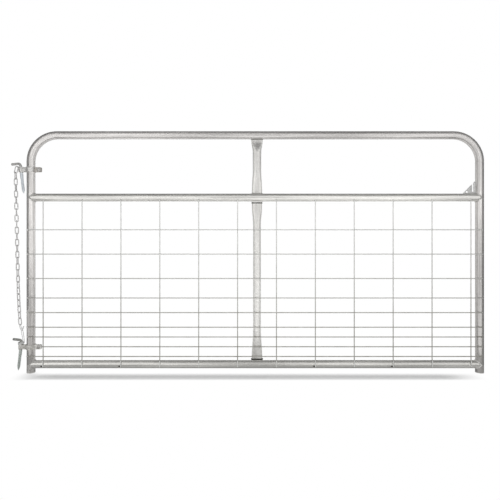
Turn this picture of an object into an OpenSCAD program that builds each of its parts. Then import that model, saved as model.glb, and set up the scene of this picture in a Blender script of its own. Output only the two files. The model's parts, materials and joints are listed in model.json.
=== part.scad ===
// Tubular field gate with a welded wire infill, strap hinges, screw hooks and a latch chain.
// Millimetres. +X runs from the hinge side to the latch side, +Y to the back, +Z up.
// The origin lies under the middle of the whole gate, hooks included, on the plane of the tube ends.

/* [Frame] */
// Width over the two upright tubes
overall_w = 2405; // [1600:1:4900]
// Height from the open tube ends to the top of the top rail
overall_h = 1270; // [1120:1:1500]
// Outside diameter of every frame tube
tube_d = 41.3; // [36:0.1:48]
// Wall of every frame tube
tube_wall = 1.65; // [1.2:0.05:3]
// Centre-line radius of the two top bends
corner_r = 140; // [90:1:155]
// Drop from the top of the gate to the centre line of the middle rail
middle_rail_drop = 349; // [320:1:400]
// Height of the bottom rail's centre line above the tube ends
bottom_rail_rise = 43.5; // [36:0.5:55]
// How far the stays and the infill stand from the frame's middle, towards the latch
infill_shift = 9; // [0:0.5:15]
// Gap left between welded or clamped faces
weld_gap = 0.05; // [0.02:0.01:0.1]

/* [Stays] */
// Outside thickness of a stay's flattened end, at the top or bottom rail
stay_flat_t = 6; // [5:0.1:9]
// Outside thickness of a stay's end at the middle rail, which is pressed part of the way
stay_part_t = 18; // [12:0.5:26]
// Length over which a stay goes from round to flat
stay_taper = 65; // [40:1:90]
// Length of the fully flat end
stay_flat_len = 4; // [2:0.5:12]

/* [Wire infill] */
// Diameter of every infill wire
wire_d = 4.9; // [3:0.1:6]
// Smallest gap between horizontal wires, centre to centre
fine_gap = 50.8; // [45:0.1:56]
// Height of the lowest horizontal wire above the bottom rail's centre line
first_wire_rise = 46.5; // [42:0.5:60]
// Pitch of the vertical wires
upright_pitch = 203.2; // [150:0.1:260]
// How far a horizontal wire laps past the piece that it ends on
line_lap = 4; // [1:0.5:10]
// Least room between the outermost vertical wires and the uprights
infill_room = 35; // [20:1:60]
// How far a vertical wire's foot laps below the bottom rail's centre line
foot_lap = 8.5; // [2:0.5:12]

/* [Hinge straps] */
// Drop from the top of the gate to the middle of the upper strap
upper_hinge_drop = 202; // [190:1:240]
// Height of the middle of the lower strap above the tube ends
lower_hinge_rise = 135; // [125:1:160]
// Height of the strap steel
strap_w = 25.4; // [20:0.1:30]
// Thickness of the strap steel
strap_t = 3.2; // [2.5:0.1:4.8]
// Bore of the rolled eye
eye_bore = 17.5; // [17:0.1:20]
// Length of the strap between the upright's band and the eye
neck_len = 17; // [12:0.5:25]
// Gap between the two sides of the strap at the neck and the ears
strap_gap = 3; // [1.5:0.5:5]
// Radius of the bends where the strap leaves the band and the eye
strap_bend_r = 5; // [3:0.5:7]
// Reach of the ears from the upright's centre line
ear_reach = 56; // [52:0.5:65]
// Corner radius of the ears
ear_corner_r = 6; // [3:0.5:9]
// Diameter of the ear bolts
bolt_d = 9.5; // [8:0.1:11]
// Radial room round a bolt in its ear hole
bolt_room = 0.4; // [0.2:0.05:0.8]
// Diameter of the round bolt head
bolt_head_d = 20; // [17:0.5:22]
// Height of the round bolt head
bolt_head_h = 5; // [4:0.5:7]
// Height of the nut
nut_h = 8.3; // [6:0.1:10]
// Width of the nut across its flats
nut_af = 14.3; // [13:0.1:17]
// Outside diameter of the washer
washer_d = 21; // [18:0.5:24]
// Thickness of the washer
washer_t = 1.8; // [1:0.1:2.5]

/* [Screw hooks] */
// Diameter of the hinge pin and the plain shank
hook_d = 12.7; // [11.5:0.1:12.9]
// Diameter of the rolled blank below the plain shank, and of the thread crests
blank_d = 15.2; // [13:0.1:16]
// Length of a hook from the pin's centre line to its point
hook_leg = 160; // [150:1:185]
// Length of the pin from the shank's centre line to its end
hook_pin = 46; // [38:0.5:55]
// Centre-line radius of the hook's bend
hook_bend_r = 13; // [11:0.5:15]
// Length of the plain blank above the thread
blank_len = 30; // [20:1:34]
// Length of the lag thread
thread_len = 60; // [45:1:63]
// Pitch of the lag thread
thread_pitch = 4.2; // [3:0.1:5]
// Root diameter of the lag thread
thread_root_d = 11.4; // [9:0.1:12.5]
// Length of the point
point_len = 20; // [14:0.5:23]
// Lean of the upper hook in its eye, foot towards the gate
upper_lean = 6.5; // [5:0.1:8]
// Lean of the lower hook in its eye, foot away from the gate
lower_lean = 6.5; // [5:0.1:8]
// Height of the upper hook's pin above the middle of its eye
upper_lift = 33; // [32:0.5:36]
// Height of the lower hook's pin above the middle of its eye
lower_lift = 35; // [33:0.5:38]

/* [Chain and ties] */
// Diameter of the chain wire
chain_wire_d = 4.8; // [4:0.1:5]
// Pitch of the chain links
chain_pitch = 32; // [29:0.1:36]
// Outside width of a chain link
link_w = 19; // [18:0.1:20]
// Play between two links
link_play = 0.25; // [0.2:0.05:0.5]
// Swing of the first link, outwards past the eye
first_swing = 12; // [9:0.5:13]
// Twist of the chain from its first link to its last
chain_twist = 90; // [60:1:100]
// Diameter of the tie wire
tie_d = 2; // [1.5:0.1:2.2]
// Centre-line radius of a tie's ring round a hook
tie_ring_r = 12.5; // [12:0.1:13.5]
// Reach of the upper tie from the hinge line to the first link
tie_reach = 22; // [21.5:0.5:25]
// Room between a tie and the top of an eye
tie_room = 0.6; // [0.4:0.1:1]
// Length left for the lower tie
lower_tie_len = 95; // [85:1:130]

/* [Latch keeper] */
// Length of the keeper plate along each tube
keeper_leg = 65; // [60:0.5:75]
// Thickness of the keeper plate
keeper_t = 4.8; // [3:0.1:6]
// Blunt width of the plate's two points
keeper_blunt = 3; // [2:0.5:5]
// Clip at the plate's inner corner
keeper_clip = 7; // [4:0.5:8]
// Width of the chain slot
slot_w = 8.5; // [6:0.1:10]
// Diameter of the slot's round seat
slot_seat_d = 12; // [11:0.5:13]
// Distance of the slot from the upright's face
slot_in = 15.5; // [14:0.5:18]
// Height of the slot's seat above the middle rail's top
slot_rise = 15; // [13:0.5:18]
// Diameter of the round chain hole
chain_hole_d = 12; // [10:0.1:13]
// Distance of the chain hole from the upright's face
chain_hole_in = 46; // [42:0.5:48]
// Height of the chain hole above the middle rail's top
chain_hole_rise = 9; // [8:0.5:10]

/* [Hidden] */
$fn = 64;

tube_r = tube_d / 2;
bore_r = tube_r - tube_wall;
upright_off = overall_w / 2 - tube_r;
top_z = overall_h - tube_r;
middle_z = overall_h - middle_rail_drop;
bottom_z = bottom_rail_rise;

// Strap, seen from above
band_r = tube_r + weld_gap;
eye_r = eye_bore / 2;
eye_reach = band_r + strap_t + neck_len + strap_t + eye_r;
ear_y = strap_gap / 2 + strap_t;
ear_in = sqrt(pow(band_r + strap_t + strap_bend_r, 2) - pow(ear_y + strap_bend_r, 2));
bolt_in = (ear_in + ear_reach) / 2;
upper_hinge_z = overall_h - upper_hinge_drop;
lower_hinge_z = lower_hinge_rise;

// Hooks
hook_r = hook_d / 2;
upper_out = hook_pin * cos(upper_lean) + (upper_lift + hook_r) * sin(upper_lean);
lower_out = hook_pin * cos(lower_lean) - (lower_lift - hook_r) * sin(lower_lean);

// Places along X, with the whole gate centred on the origin
left_out = upright_off + eye_reach + max(upper_out, lower_out);
frame_x = (left_out - overall_w / 2) / 2;
left_x = frame_x - upright_off;
right_x = frame_x + upright_off;
hinge_x = left_x - eye_reach;
infill_x = frame_x + infill_shift;

// Infill: horizontal wires on the front of the uprights, vertical ones just behind them
wire_r = wire_d / 2;
line_y = -(tube_r + weld_gap + wire_r);
upright_y = line_y + wire_d + weld_gap;
line_top = middle_z - tube_r - 1.5 * fine_gap;
function line_gap(i) = fine_gap * (i < 3 ? 1 : i < 5 ? 1.5 : i < 6 ? 2 : 2.5);
function line_z(i) = i == 0 ? bottom_z + first_wire_rise : line_z(i - 1) + line_gap(i - 1);
function lines_under(limit, i = 0) = line_z(i) > limit ? i : lines_under(limit, i + 1);
line_count = lines_under(line_top);
infill_w = 2 * (upright_off - tube_r - infill_room);
upright_count = 2 * floor((infill_w / upright_pitch + 1) / 2);
function upright_x(i) = infill_x + (i - (upright_count - 1) / 2) * upright_pitch;
// A wire at the lower strap's height is cut back to the first vertical wire
function line_cut(i) = abs(line_z(i) - lower_hinge_z) < strap_w / 2 + wire_d;
function line_start(i) = (line_cut(i) ? upright_x(0) : left_x) - line_lap;
upright_top = middle_z - sqrt(pow(tube_r, 2) - pow(tube_r - wire_d, 2)) - 2 * weld_gap;
// The step at a vertical wire's foot: two bends that each turn by the small angle of a 7-24-25 triangle
step = upright_y - line_y;
step_cos = 0.96;
step_sin = 0.28;
wire_bend_r = step / (2 * (1 - step_cos));
step_h = 2 * wire_bend_r * step_sin;
step_top = line_z(0) - wire_r - 4;

// Stays: a pressed end keeps the tube's girth
function pressed_w(t) = PI * (tube_d - t) / 2 + t;
// Length over which a pressed end is still round
press_start = 0.2;

// Chain and ties
tie_r = tie_d / 2;
link_r = chain_wire_d / 2;
link_bend_r = (link_w - chain_wire_d) / 2;
link_half = (chain_pitch + link_play) / 2 + link_r - link_bend_r;
upper_tie_z = upper_hinge_z + strap_w / 2 + tie_room + tie_r;
lower_tie_z = lower_hinge_z + strap_w / 2 + tie_room + tie_r;
chain_top = [hinge_x - tie_reach, 0, upper_tie_z + tie_r + link_play];
// An even number of links, so that the last one takes its tie the same way round
link_count = 2 * floor((chain_top[2] - lower_tie_z - lower_tie_len) / (2 * chain_pitch));
// Sideways run that the links after the first make up, so that the last one hangs by the hinge line
chain_run = tie_reach + chain_pitch * sin(first_swing) - 4;
chain_lean = asin(0.7 * chain_run / ((link_count - 1) * chain_pitch));
chain_hook = asin(0.3 * chain_run / (0.163 * link_count * chain_pitch));
function link_lean(i) = i == 0 ? first_swing : -chain_lean - chain_hook * pow(i / (link_count - 1), 6);
function link_dir(i) = [-sin(link_lean(i)), 0, -cos(link_lean(i))];
function link_joint(i) = i == 0 ? chain_top : link_joint(i - 1) + chain_pitch * link_dir(i - 1);

// Wire path helpers
function unit(v) = v / norm(v);
function bend_at(a, b, c, d, t) =
    0.5 * (2 * b + (c - a) * t + (2 * a - 5 * b + 4 * c - d) * t * t + (3 * b - a - 3 * c + d) * t * t * t);
function smooth_path(p, n) = concat(
    [for (i = [0 : len(p) - 2]) for (k = [0 : n - 1])
        bend_at(p[max(i - 1, 0)], p[i], p[i + 1], p[min(i + 2, len(p) - 1)], k / n)],
    [p[len(p) - 1]]
);
function along(p, i) = unit(p[min(i + 1, len(p) - 1)] - p[max(i - 1, 0)]);
function carried(p, u, i = 0) = i >= len(p) ? [] :
    let (t = along(p, i), v = unit(u - (u * t) * t)) concat([v], carried(p, v, i + 1));

// Round bar or tube bent in the XZ plane
module xz_bend(bend, r, start, sweep) {
    rotate([90, 0, 0])
        rotate([0, 0, start])
            rotate_extrude(angle = sweep)
                translate([bend, 0])
                    circle(r);
}

// One bend of a vertical wire's step, in the YZ plane: s is 1 for the upper bend and -1 for the lower
module step_bend(s) {
    far = 2 * s * wire_bend_r;
    rotate([90, 0, 90])
        intersection() {
            rotate_extrude()
                translate([wire_bend_r, 0])
                    circle(wire_r);
            linear_extrude(4 * wire_d, center = true)
                polygon([[0, 0], [far, 0], [far * step_cos, -far * step_sin]]);
        }
}

// The bent tube's run at one radius, its feet drawn past the ground by extra
module frame_run(r, extra) {
    for (x = [left_x, right_x])
        translate([x, 0, -extra])
            cylinder(r = r, h = top_z - corner_r + extra);
    translate([left_x + corner_r, 0, top_z])
        rotate([0, 90, 0])
            cylinder(r = r, h = 2 * (upright_off - corner_r));
    translate([left_x + corner_r, 0, top_z - corner_r])
        xz_bend(corner_r, r, 90, 90);
    translate([right_x - corner_r, 0, top_z - corner_r])
        xz_bend(corner_r, r, 0, 90);
}

module frame_tube() {
    color([0.78, 0.79, 0.8])
        difference() {
            frame_run(tube_r, 0);
            frame_run(bore_r, 1);
        }
}

// A rail whose ends are coped to the two uprights
module coped_rail(z) {
    difference() {
        translate([left_x, 0, z])
            rotate([0, 90, 0])
                cylinder(r = tube_r, h = 2 * upright_off);
        translate([left_x - 1, 0, z])
            rotate([0, 90, 0])
                cylinder(r = bore_r, h = 2 * upright_off + 2);
        for (x = [left_x, right_x])
            translate([x, 0, z - tube_d])
                cylinder(r = tube_r + weld_gap, h = 2 * tube_d);
    }
}

module middle_rail() {
    color([0.76, 0.77, 0.78])
        coped_rail(middle_z);
}

module bottom_rail() {
    color([0.72, 0.73, 0.74])
        coped_rail(bottom_z);
}

// The pressed end's outline
module flat_oval(w, t) {
    square([w - t, t], center = true);
    for (s = [-1, 1])
        translate([s * (w - t) / 2, 0])
            circle(d = t, $fn = 16);
}

// One end of a stay, round at z = 0 and pressed to the thickness t at the top, shrunk by the wall for the hollow
module pressed_end(t, inset) {
    hull() {
        cylinder(r = tube_r - inset, h = press_start);
        translate([0, 0, stay_taper])
            linear_extrude(stay_flat_len)
                flat_oval(pressed_w(t) - 2 * inset, t - 2 * inset);
    }
}

module stay_solid(low, high, low_t, high_t, inset, extra) {
    end_len = stay_taper + stay_flat_len - extra;
    half = (high - low) / 2 - end_len + tube_r;
    translate([infill_x, 0, high - end_len]) {
        pressed_end(high_t, inset);
        mirror([0, 0, 1])
            cylinder(r = tube_r - inset, h = half);
    }
    translate([infill_x, 0, low + end_len]) {
        cylinder(r = tube_r - inset, h = half);
        mirror([0, 0, 1])
            pressed_end(low_t, inset);
    }
}

// A tube between two rails, with its ends pressed to the thicknesses low_t and high_t
module pressed_stay(low, high, low_t, high_t) {
    difference() {
        stay_solid(low, high, low_t, high_t, 0, 0);
        stay_solid(low, high, low_t, high_t, tube_wall, 0.5);
    }
}

module upper_stay() {
    color([0.8, 0.8, 0.81])
        pressed_stay(middle_z + tube_r + weld_gap, top_z - tube_r - weld_gap, stay_part_t, stay_flat_t);
}

module lower_stay() {
    color([0.8, 0.8, 0.81])
        pressed_stay(bottom_z + tube_r + weld_gap, middle_z - tube_r - weld_gap, stay_flat_t, stay_part_t);
}

module horizontal_wire(i) {
    color([0.66, 0.67, 0.68])
        translate([line_start(i), line_y, line_z(i)])
            rotate([0, 90, 0])
                cylinder(r = wire_r, h = right_x + line_lap - line_start(i));
}

module vertical_wire(i) {
    color([0.66, 0.67, 0.68])
        translate([upright_x(i), 0, 0]) {
            translate([0, upright_y, step_top])
                cylinder(r = wire_r, h = upright_top - step_top);
            translate([0, upright_y - wire_bend_r, step_top])
                step_bend(1);
            translate([0, line_y + wire_bend_r, step_top - step_h])
                step_bend(-1);
            translate([0, line_y, bottom_z - foot_lap])
                cylinder(r = wire_r, h = step_top - step_h - bottom_z + foot_lap);
        }
}

// Plate outline, measured from the corner between the upright's face and the rail's top
module keeper_outline() {
    difference() {
        polygon([
            [keeper_clip, 0], [keeper_leg, 0], [keeper_leg, keeper_blunt],
            [keeper_blunt, keeper_leg], [0, keeper_leg], [0, keeper_clip]
        ]);
        translate([slot_in, slot_rise])
            circle(d = slot_seat_d);
        translate([slot_in - slot_w / 2, slot_rise])
            square([slot_w, keeper_leg]);
        translate([chain_hole_in, chain_hole_rise])
            circle(d = chain_hole_d);
    }
}

module latch_keeper() {
    color([0.62, 0.63, 0.64])
        translate([right_x - tube_r - weld_gap, keeper_t / 2, middle_z + tube_r + weld_gap])
            rotate([90, 0, 0])
                linear_extrude(keeper_t)
                    mirror([1, 0])
                        keeper_outline();
}

// Fill of the two bends where straight sides at height h leave a round of radius r, to the side s
module bend_fill(r, h, bend, s) {
    cx = sqrt(pow(r + bend, 2) - pow(h + bend, 2));
    turn = 90 - atan2(h + bend, cx);
    function on_bend(k) = [cx, h + bend] + bend * [cos(270 - turn * k / 6), sin(270 - turn * k / 6)];
    half = concat([[cx, h - 0.2]], [for (k = [1 : 5]) on_bend(k)], [on_bend(6) * (1 - 0.3 / r)]);
    polygon(concat(
        [for (p = half) [s * p[0], p[1]]],
        [for (k = [6 : -1 : 0]) [s * half[k][0], -half[k][1]]]
    ));
}

// One skin of the bent strap: the outer one with grow at the steel's thickness, the inner one with 0
module strap_skin(grow, ear, tall) {
    h = strap_gap / 2 + grow;
    bend = strap_bend_r + strap_t - grow;
    cylinder(r = band_r + grow, h = tall, center = true);
    translate([-eye_reach, 0, 0])
        cylinder(r = eye_r + grow, h = tall, center = true);
    translate([-eye_reach, -h, -tall / 2])
        cube([eye_reach + ear, 2 * h, tall]);
    for (s = [-1, 1])
        linear_extrude(tall, center = true)
            bend_fill(band_r + grow, h, bend, s);
    translate([-eye_reach, 0, 0])
        linear_extrude(tall, center = true)
            bend_fill(eye_r + grow, h, bend, 1);
}

// Square block with a round taken out, which rounds an ear's corner
module ear_corner() {
    difference() {
        cube([2 * ear_corner_r, 4 * ear_y, 2 * ear_corner_r]);
        translate([0, -1, 0])
            rotate([-90, 0, 0])
                cylinder(r = ear_corner_r, h = 4 * ear_y + 2);
    }
}

module hinge_strap(z) {
    color([0.55, 0.57, 0.58])
        translate([left_x, 0, z])
            difference() {
                strap_skin(strap_t, ear_reach, strap_w);
                strap_skin(0, ear_reach + 1, strap_w + 2);
                translate([bolt_in, -2 * ear_y, 0])
                    rotate([-90, 0, 0])
                        cylinder(d = bolt_d + 2 * bolt_room, h = 4 * ear_y);
                for (s = [0, 1])
                    mirror([0, 0, s])
                        translate([ear_reach - ear_corner_r, -2 * ear_y, strap_w / 2 - ear_corner_r])
                            ear_corner();
            }
}

// Everything on an ear bolt stands on the bolt's line, with z along it from the front ear's face
module on_bolt(z) {
    translate([left_x + bolt_in, -ear_y, z])
        rotate([-90, 0, 0])
            children();
}

module hinge_bolt(z) {
    dome_r = (pow(bolt_head_d / 2, 2) + pow(bolt_head_h, 2)) / (2 * bolt_head_h);
    color([0.6, 0.61, 0.63])
        on_bolt(z) {
            translate([0, 0, -weld_gap])
                cylinder(d = bolt_d, h = 2 * ear_y + washer_t + nut_h + 4 * weld_gap + 4);
            translate([0, 0, -weld_gap])
                mirror([0, 0, 1])
                    rotate_extrude()
                        intersection() {
                            translate([0, bolt_head_h - dome_r])
                                circle(dome_r);
                            square([bolt_head_d, bolt_head_h]);
                        }
        }
}

module hinge_washer(z) {
    color([0.6, 0.61, 0.63])
        on_bolt(z)
            translate([0, 0, 2 * ear_y + weld_gap])
                difference() {
                    cylinder(d = washer_d, h = washer_t);
                    translate([0, 0, -1])
                        cylinder(d = bolt_d + 2 * bolt_room, h = washer_t + 2);
                }
}

module hinge_nut(z) {
    color([0.6, 0.61, 0.63])
        on_bolt(z)
            translate([0, 0, 2 * ear_y + washer_t + 2 * weld_gap])
                difference() {
                    cylinder(d = nut_af / cos(30), h = nut_h, $fn = 6);
                    translate([0, 0, -1])
                        cylinder(d = bolt_d + 2 * weld_gap, h = nut_h + 2);
                }
}

// Half profile of the lag thread, drawn as rings, with its point
module lag_profile() {
    turns = floor(thread_len / thread_pitch);
    crest = blank_d / 2;
    root = thread_root_d / 2;
    rings = [for (k = [0 : turns - 1]) each [
        [crest, -k * thread_pitch], [crest, -(k + 0.12) * thread_pitch],
        [root, -(k + 0.4) * thread_pitch], [root, -(k + 0.75) * thread_pitch]
    ]];
    polygon(concat(
        [[0, 0]], rings,
        [[crest, -turns * thread_pitch], [crest, -thread_len]],
        [[0.6, -thread_len - point_len], [0, -thread_len - point_len]]
    ));
}

// A hook with its shank down Z, the eye's middle at the origin and the pin towards -X
module screw_hook(lift) {
    thread_z = lift - hook_leg + point_len + thread_len;
    // The blank stays below the strap
    plain_z = min(thread_z + blank_len, -strap_w / 2 - 2.2);
    translate([0, 0, plain_z])
        cylinder(r = hook_r, h = lift - hook_bend_r - plain_z);
    translate([0, 0, thread_z])
        cylinder(d = blank_d, h = plain_z - thread_z);
    translate([0, 0, thread_z])
        rotate_extrude()
            lag_profile();
    translate([-hook_bend_r, 0, lift - hook_bend_r])
        xz_bend(hook_bend_r, hook_r, 0, 90);
    translate([-hook_bend_r, 0, lift])
        rotate([0, -90, 0])
            cylinder(r = hook_r, h = hook_pin - hook_bend_r - 1);
    translate([1 - hook_pin, 0, lift])
        rotate([0, -90, 0])
            cylinder(r1 = hook_r, r2 = hook_r - 1, h = 1);
}

module upper_hook() {
    color([0.52, 0.58, 0.62])
        translate([hinge_x, 0, upper_hinge_z])
            rotate([0, -upper_lean, 0])
                screw_hook(upper_lift);
}

module lower_hook() {
    color([0.55, 0.57, 0.52])
        translate([hinge_x, 0, lower_hinge_z])
            rotate([0, lower_lean, 0])
                screw_hook(lower_lift);
}

// One link, upright in the XZ plane
module chain_link() {
    for (s = [-1, 1])
        translate([s * link_bend_r, 0, -link_half])
            cylinder(r = link_r, h = 2 * link_half, $fn = 24);
    translate([0, 0, link_half])
        xz_bend(link_bend_r, link_r, 0, 180, $fn = 24);
    translate([0, 0, -link_half])
        xz_bend(link_bend_r, link_r, 180, 180, $fn = 24);
}

module latch_chain() {
    color([0.6, 0.61, 0.62])
        for (i = [0 : link_count - 1])
            translate(link_joint(i) + link_dir(i) * chain_pitch / 2)
                rotate([0, link_lean(i), 0])
                    rotate([0, 0, (i % 2) * 90 + chain_twist * i / (link_count - 1)])
                        chain_link();
}

// Tie wire swept along a path
module tie_wire(control, n) {
    p = smooth_path(control, n);
    u = carried(p, unit(cross(along(p, 0), [0.31, 0.24, 0.92])));
    sides = 8;
    rings = [for (i = [0 : len(p) - 1]) for (k = [0 : sides - 1])
        p[i] + tie_r * (cos(k * 360 / sides) * u[i] + sin(k * 360 / sides) * cross(along(p, i), u[i]))];
    skin = [for (i = [0 : len(p) - 2]) for (k = [0 : sides - 1])
        let (a = i * sides + k, b = i * sides + (k + 1) % sides)
        each [[a, a + sides, b], [b, a + sides, b + sides]]];
    last = (len(p) - 1) * sides;
    polyhedron(rings, concat(
        skin,
        [[for (k = [0 : sides - 1]) k]],
        [[for (k = [sides - 1 : -1 : 0]) last + k]]
    ));
}

// A flat loop round the upper hook's neck that the first link hangs from, twisted off at the back
module upper_tie() {
    near = tie_ring_r;
    far = tie_reach;
    side = tie_d * 0.6;
    color([0.85, 0.86, 0.86])
        translate([hinge_x, 0, upper_tie_z])
            tie_wire([
                [8 + side, near + 11, side], [4 + side, near + 4, side / 2],
                [near * 0.62, near * 0.78, 0], [near, 0, 0], [near * 0.62, -near * 0.78, 0],
                [-near * 0.2, -near, 0], [-near * 0.8, -near * 0.72, 0], [-far + 4, -4.8, 0], [-far + 1, -2.6, 0],
                [-far, 0, 0], [-far + 1, 2.6, 0], [-far + 4, 4.8, 0], [-near * 0.8, near * 0.72, 0],
                [-near * 0.2, near, 0], [4 - side, near + 4, side / 2], [8 - side, near + 11, side]
            ], 4);
}

// A loop from the last link down past the bend and round the lower hook's neck, with a twisted tail
module lower_tie() {
    near = tie_ring_r;
    end = link_joint(link_count) - link_dir(link_count - 1) * (tie_r + 2 * link_play) - [hinge_x, 0, lower_tie_z];
    over = lower_lift + hook_r + 8 - strap_w / 2;
    side = tie_d * 0.6;
    mid_z = (end[2] + over) / 2;
    color([0.85, 0.86, 0.86])
        translate([hinge_x, 0, lower_tie_z])
            tie_wire([
                [18, -8, mid_z + 24 + side], [11, -7.5, mid_z + 9 + side], [4.5, -6.6, mid_z + 3 + side],
                [end[0] + 1, -5, end[2] - 14], [end[0], -4, end[2] - 4], [end[0], -2.4, end[2] - 0.9],
                [end[0], 0, end[2]],
                [end[0], 2.4, end[2] - 0.9], [end[0], 4, end[2] - 4], [end[0] + 1, 5, end[2] - 14],
                [5, 6.6, mid_z], [near * 0.9, 6.6, over], [near + 1.5, 6, over * 0.5], [near, 7, 6],
                [near * 0.5, near * 0.9, 1], [-near * 0.3, near, 0], [-near * 0.85, near * 0.55, 0],
                [-near, 0, 0], [-near * 0.85, -near * 0.55, 0], [-near * 0.3, -near, 0],
                [near * 0.5, -near * 0.9, 1], [near, -7, 6], [near + 1.5, -6, over * 0.5], [near * 0.9, -6.6, over],
                [6, -6.6, mid_z - 6], [7, -6.9, mid_z + 1 - side], [12.5, -7.5, mid_z + 8 - side],
                [19.5, -8, mid_z + 23 - side]
            ], 3);
}

frame_tube();
middle_rail();
bottom_rail();
upper_stay();
lower_stay();
for (i = [1 : line_count])
    horizontal_wire(i - 1);
for (i = [1 : upright_count])
    vertical_wire(i - 1);
latch_keeper();
hinge_strap(upper_hinge_z);  // upper_hinge_strap
hinge_strap(lower_hinge_z);  // lower_hinge_strap
hinge_bolt(upper_hinge_z);  // upper_hinge_bolt
hinge_bolt(lower_hinge_z);  // lower_hinge_bolt
hinge_washer(upper_hinge_z);  // upper_hinge_washer
hinge_washer(lower_hinge_z);  // lower_hinge_washer
hinge_nut(upper_hinge_z);  // upper_hinge_nut
hinge_nut(lower_hinge_z);  // lower_hinge_nut
upper_hook();
lower_hook();
latch_chain();
upper_tie();
lower_tie();
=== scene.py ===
"""Looks of a tubular field gate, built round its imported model.

Everything is in metres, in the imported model's own frame: X runs from the hinge side to the latch
side, Y to the back and Z up. The wires are on the front, towards -Y.
"""

import json
import logging
import math
from dataclasses import dataclass, replace
from enum import Enum
from typing import Callable, Iterable, Sequence

import bmesh
import bpy
from mathutils import Euler, Matrix, Vector

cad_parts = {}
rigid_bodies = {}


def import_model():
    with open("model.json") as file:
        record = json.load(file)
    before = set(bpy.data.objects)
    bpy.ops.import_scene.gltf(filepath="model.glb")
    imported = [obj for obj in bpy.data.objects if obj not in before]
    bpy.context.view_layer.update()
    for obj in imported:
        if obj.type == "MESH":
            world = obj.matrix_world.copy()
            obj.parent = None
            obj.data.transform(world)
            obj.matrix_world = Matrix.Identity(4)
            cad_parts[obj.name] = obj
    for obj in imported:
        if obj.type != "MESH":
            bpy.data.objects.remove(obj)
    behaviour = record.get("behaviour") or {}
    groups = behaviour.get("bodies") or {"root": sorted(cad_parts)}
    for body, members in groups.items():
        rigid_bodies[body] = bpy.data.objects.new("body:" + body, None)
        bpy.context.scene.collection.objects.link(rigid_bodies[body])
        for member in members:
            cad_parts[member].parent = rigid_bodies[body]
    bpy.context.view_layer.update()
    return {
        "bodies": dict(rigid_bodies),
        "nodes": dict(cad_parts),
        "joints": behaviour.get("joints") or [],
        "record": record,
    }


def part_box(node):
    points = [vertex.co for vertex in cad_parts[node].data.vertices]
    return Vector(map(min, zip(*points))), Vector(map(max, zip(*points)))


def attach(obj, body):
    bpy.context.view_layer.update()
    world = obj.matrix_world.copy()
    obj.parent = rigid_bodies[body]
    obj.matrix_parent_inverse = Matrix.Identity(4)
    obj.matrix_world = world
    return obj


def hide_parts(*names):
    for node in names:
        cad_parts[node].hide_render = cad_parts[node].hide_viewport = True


LOG = logging.getLogger("field_gate")
MM = 0.001
GATE = "gate"
TUBE_WALL = 1.65 * MM

Colour = tuple[float, float, float]
Point = tuple[float, float, float]
Span = tuple[float, float]
Run = tuple[Sequence[Vector], bool]
Wires = dict[str | int, object]
Mesh = bpy.types.Mesh
Piece = bpy.types.Object
Socket = bpy.types.NodeSocket


class Grain(Enum):
    """Which way the drawn streaks of a finish run, as texture scales along X, Y and Z."""

    ALONG_X = (0.4, 13.0, 13.0)
    ALONG_Z = (13.0, 13.0, 0.4)
    NONE = (30.0, 30.0, 30.0)


class Hinge(Enum):
    """The two hinges, by the words that their nodes' names start with."""

    UPPER = "upper"
    LOWER = "lower"


class NodePad:
    """A node tree under construction."""

    def __init__(self, tree: bpy.types.NodeTree) -> None:
        """Takes up a tree with the nodes that it has."""
        self.tree = tree

    def add(self, kind: str, wires: Wires, out: str | int = 0, **settings: object) -> Socket:
        """Adds a node and wires it up.

        Args:
            kind: The node's type name.
            wires: Sockets or plain values for its inputs.
            out: Which output to return.
            settings: The node's own properties.

        Returns:
            The chosen output.
        """
        node = self.tree.nodes.new(kind)
        for key, value in settings.items():
            setattr(node, key, value)
        self.wire(node, wires)
        return node.outputs[out]

    def wire(self, node: bpy.types.Node, wires: Wires) -> None:
        """Links sockets to a node's inputs, or sets plain values there.

        Args:
            node: The node.
            wires: What goes into each input.
        """
        for key, value in wires.items():
            if isinstance(value, Socket):
                self.tree.links.new(value, node.inputs[key])
            else:
                node.inputs[key].default_value = value

    def maths(self, operation: str, *values: object) -> Socket:
        """Adds a maths node over sockets or plain numbers."""
        return self.add("ShaderNodeMath", dict(enumerate(values)), operation=operation)


class ShaderPad(NodePad):
    """The node tree of a material or of the world."""

    def __init__(self, owner: bpy.types.Material | bpy.types.World) -> None:
        """Takes up the tree of a new material or world."""
        owner.use_nodes = True
        super().__init__(owner.node_tree)

    def noise(self, spot: Socket, scale: float, detail: float, roughness: float) -> Socket:
        """Adds a noise texture."""
        wires = {"Vector": spot, "Scale": scale, "Detail": detail, "Roughness": roughness}
        return self.add("ShaderNodeTexNoise", wires)

    def total(self, *parts: tuple[Socket, float]) -> Socket:
        """Sums patterns round one half.

        Args:
            parts: Each pattern, which runs from 0 to 1, and its share.

        Returns:
            The sum.
        """
        value: object = 0.5
        for pattern, share in parts:
            centred = self.maths("SUBTRACT", pattern, 0.5)
            value = self.maths("MULTIPLY_ADD", centred, share, value)
        return value

    def seen(self) -> Socket:
        """Tells rays that see the backdrop, or its mirror image, from those that gather light.

        Returns:
            1 for the rays that see it and 0 for the others.
        """
        rays = self.add("ShaderNodeLightPath", {}).node.outputs
        sight = self.maths("MAXIMUM", rays["Is Camera Ray"], rays["Is Glossy Ray"])
        return self.maths("MAXIMUM", sight, rays["Is Transmission Ray"])

    def surface(self, shader: Socket) -> None:
        """Puts a shader in the place of a new material's own.

        Args:
            shader: The shader's output.
        """
        nodes = self.tree.nodes
        nodes.remove(nodes["Principled BSDF"])
        self.wire(nodes["Material Output"], {"Surface": shader})


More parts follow.
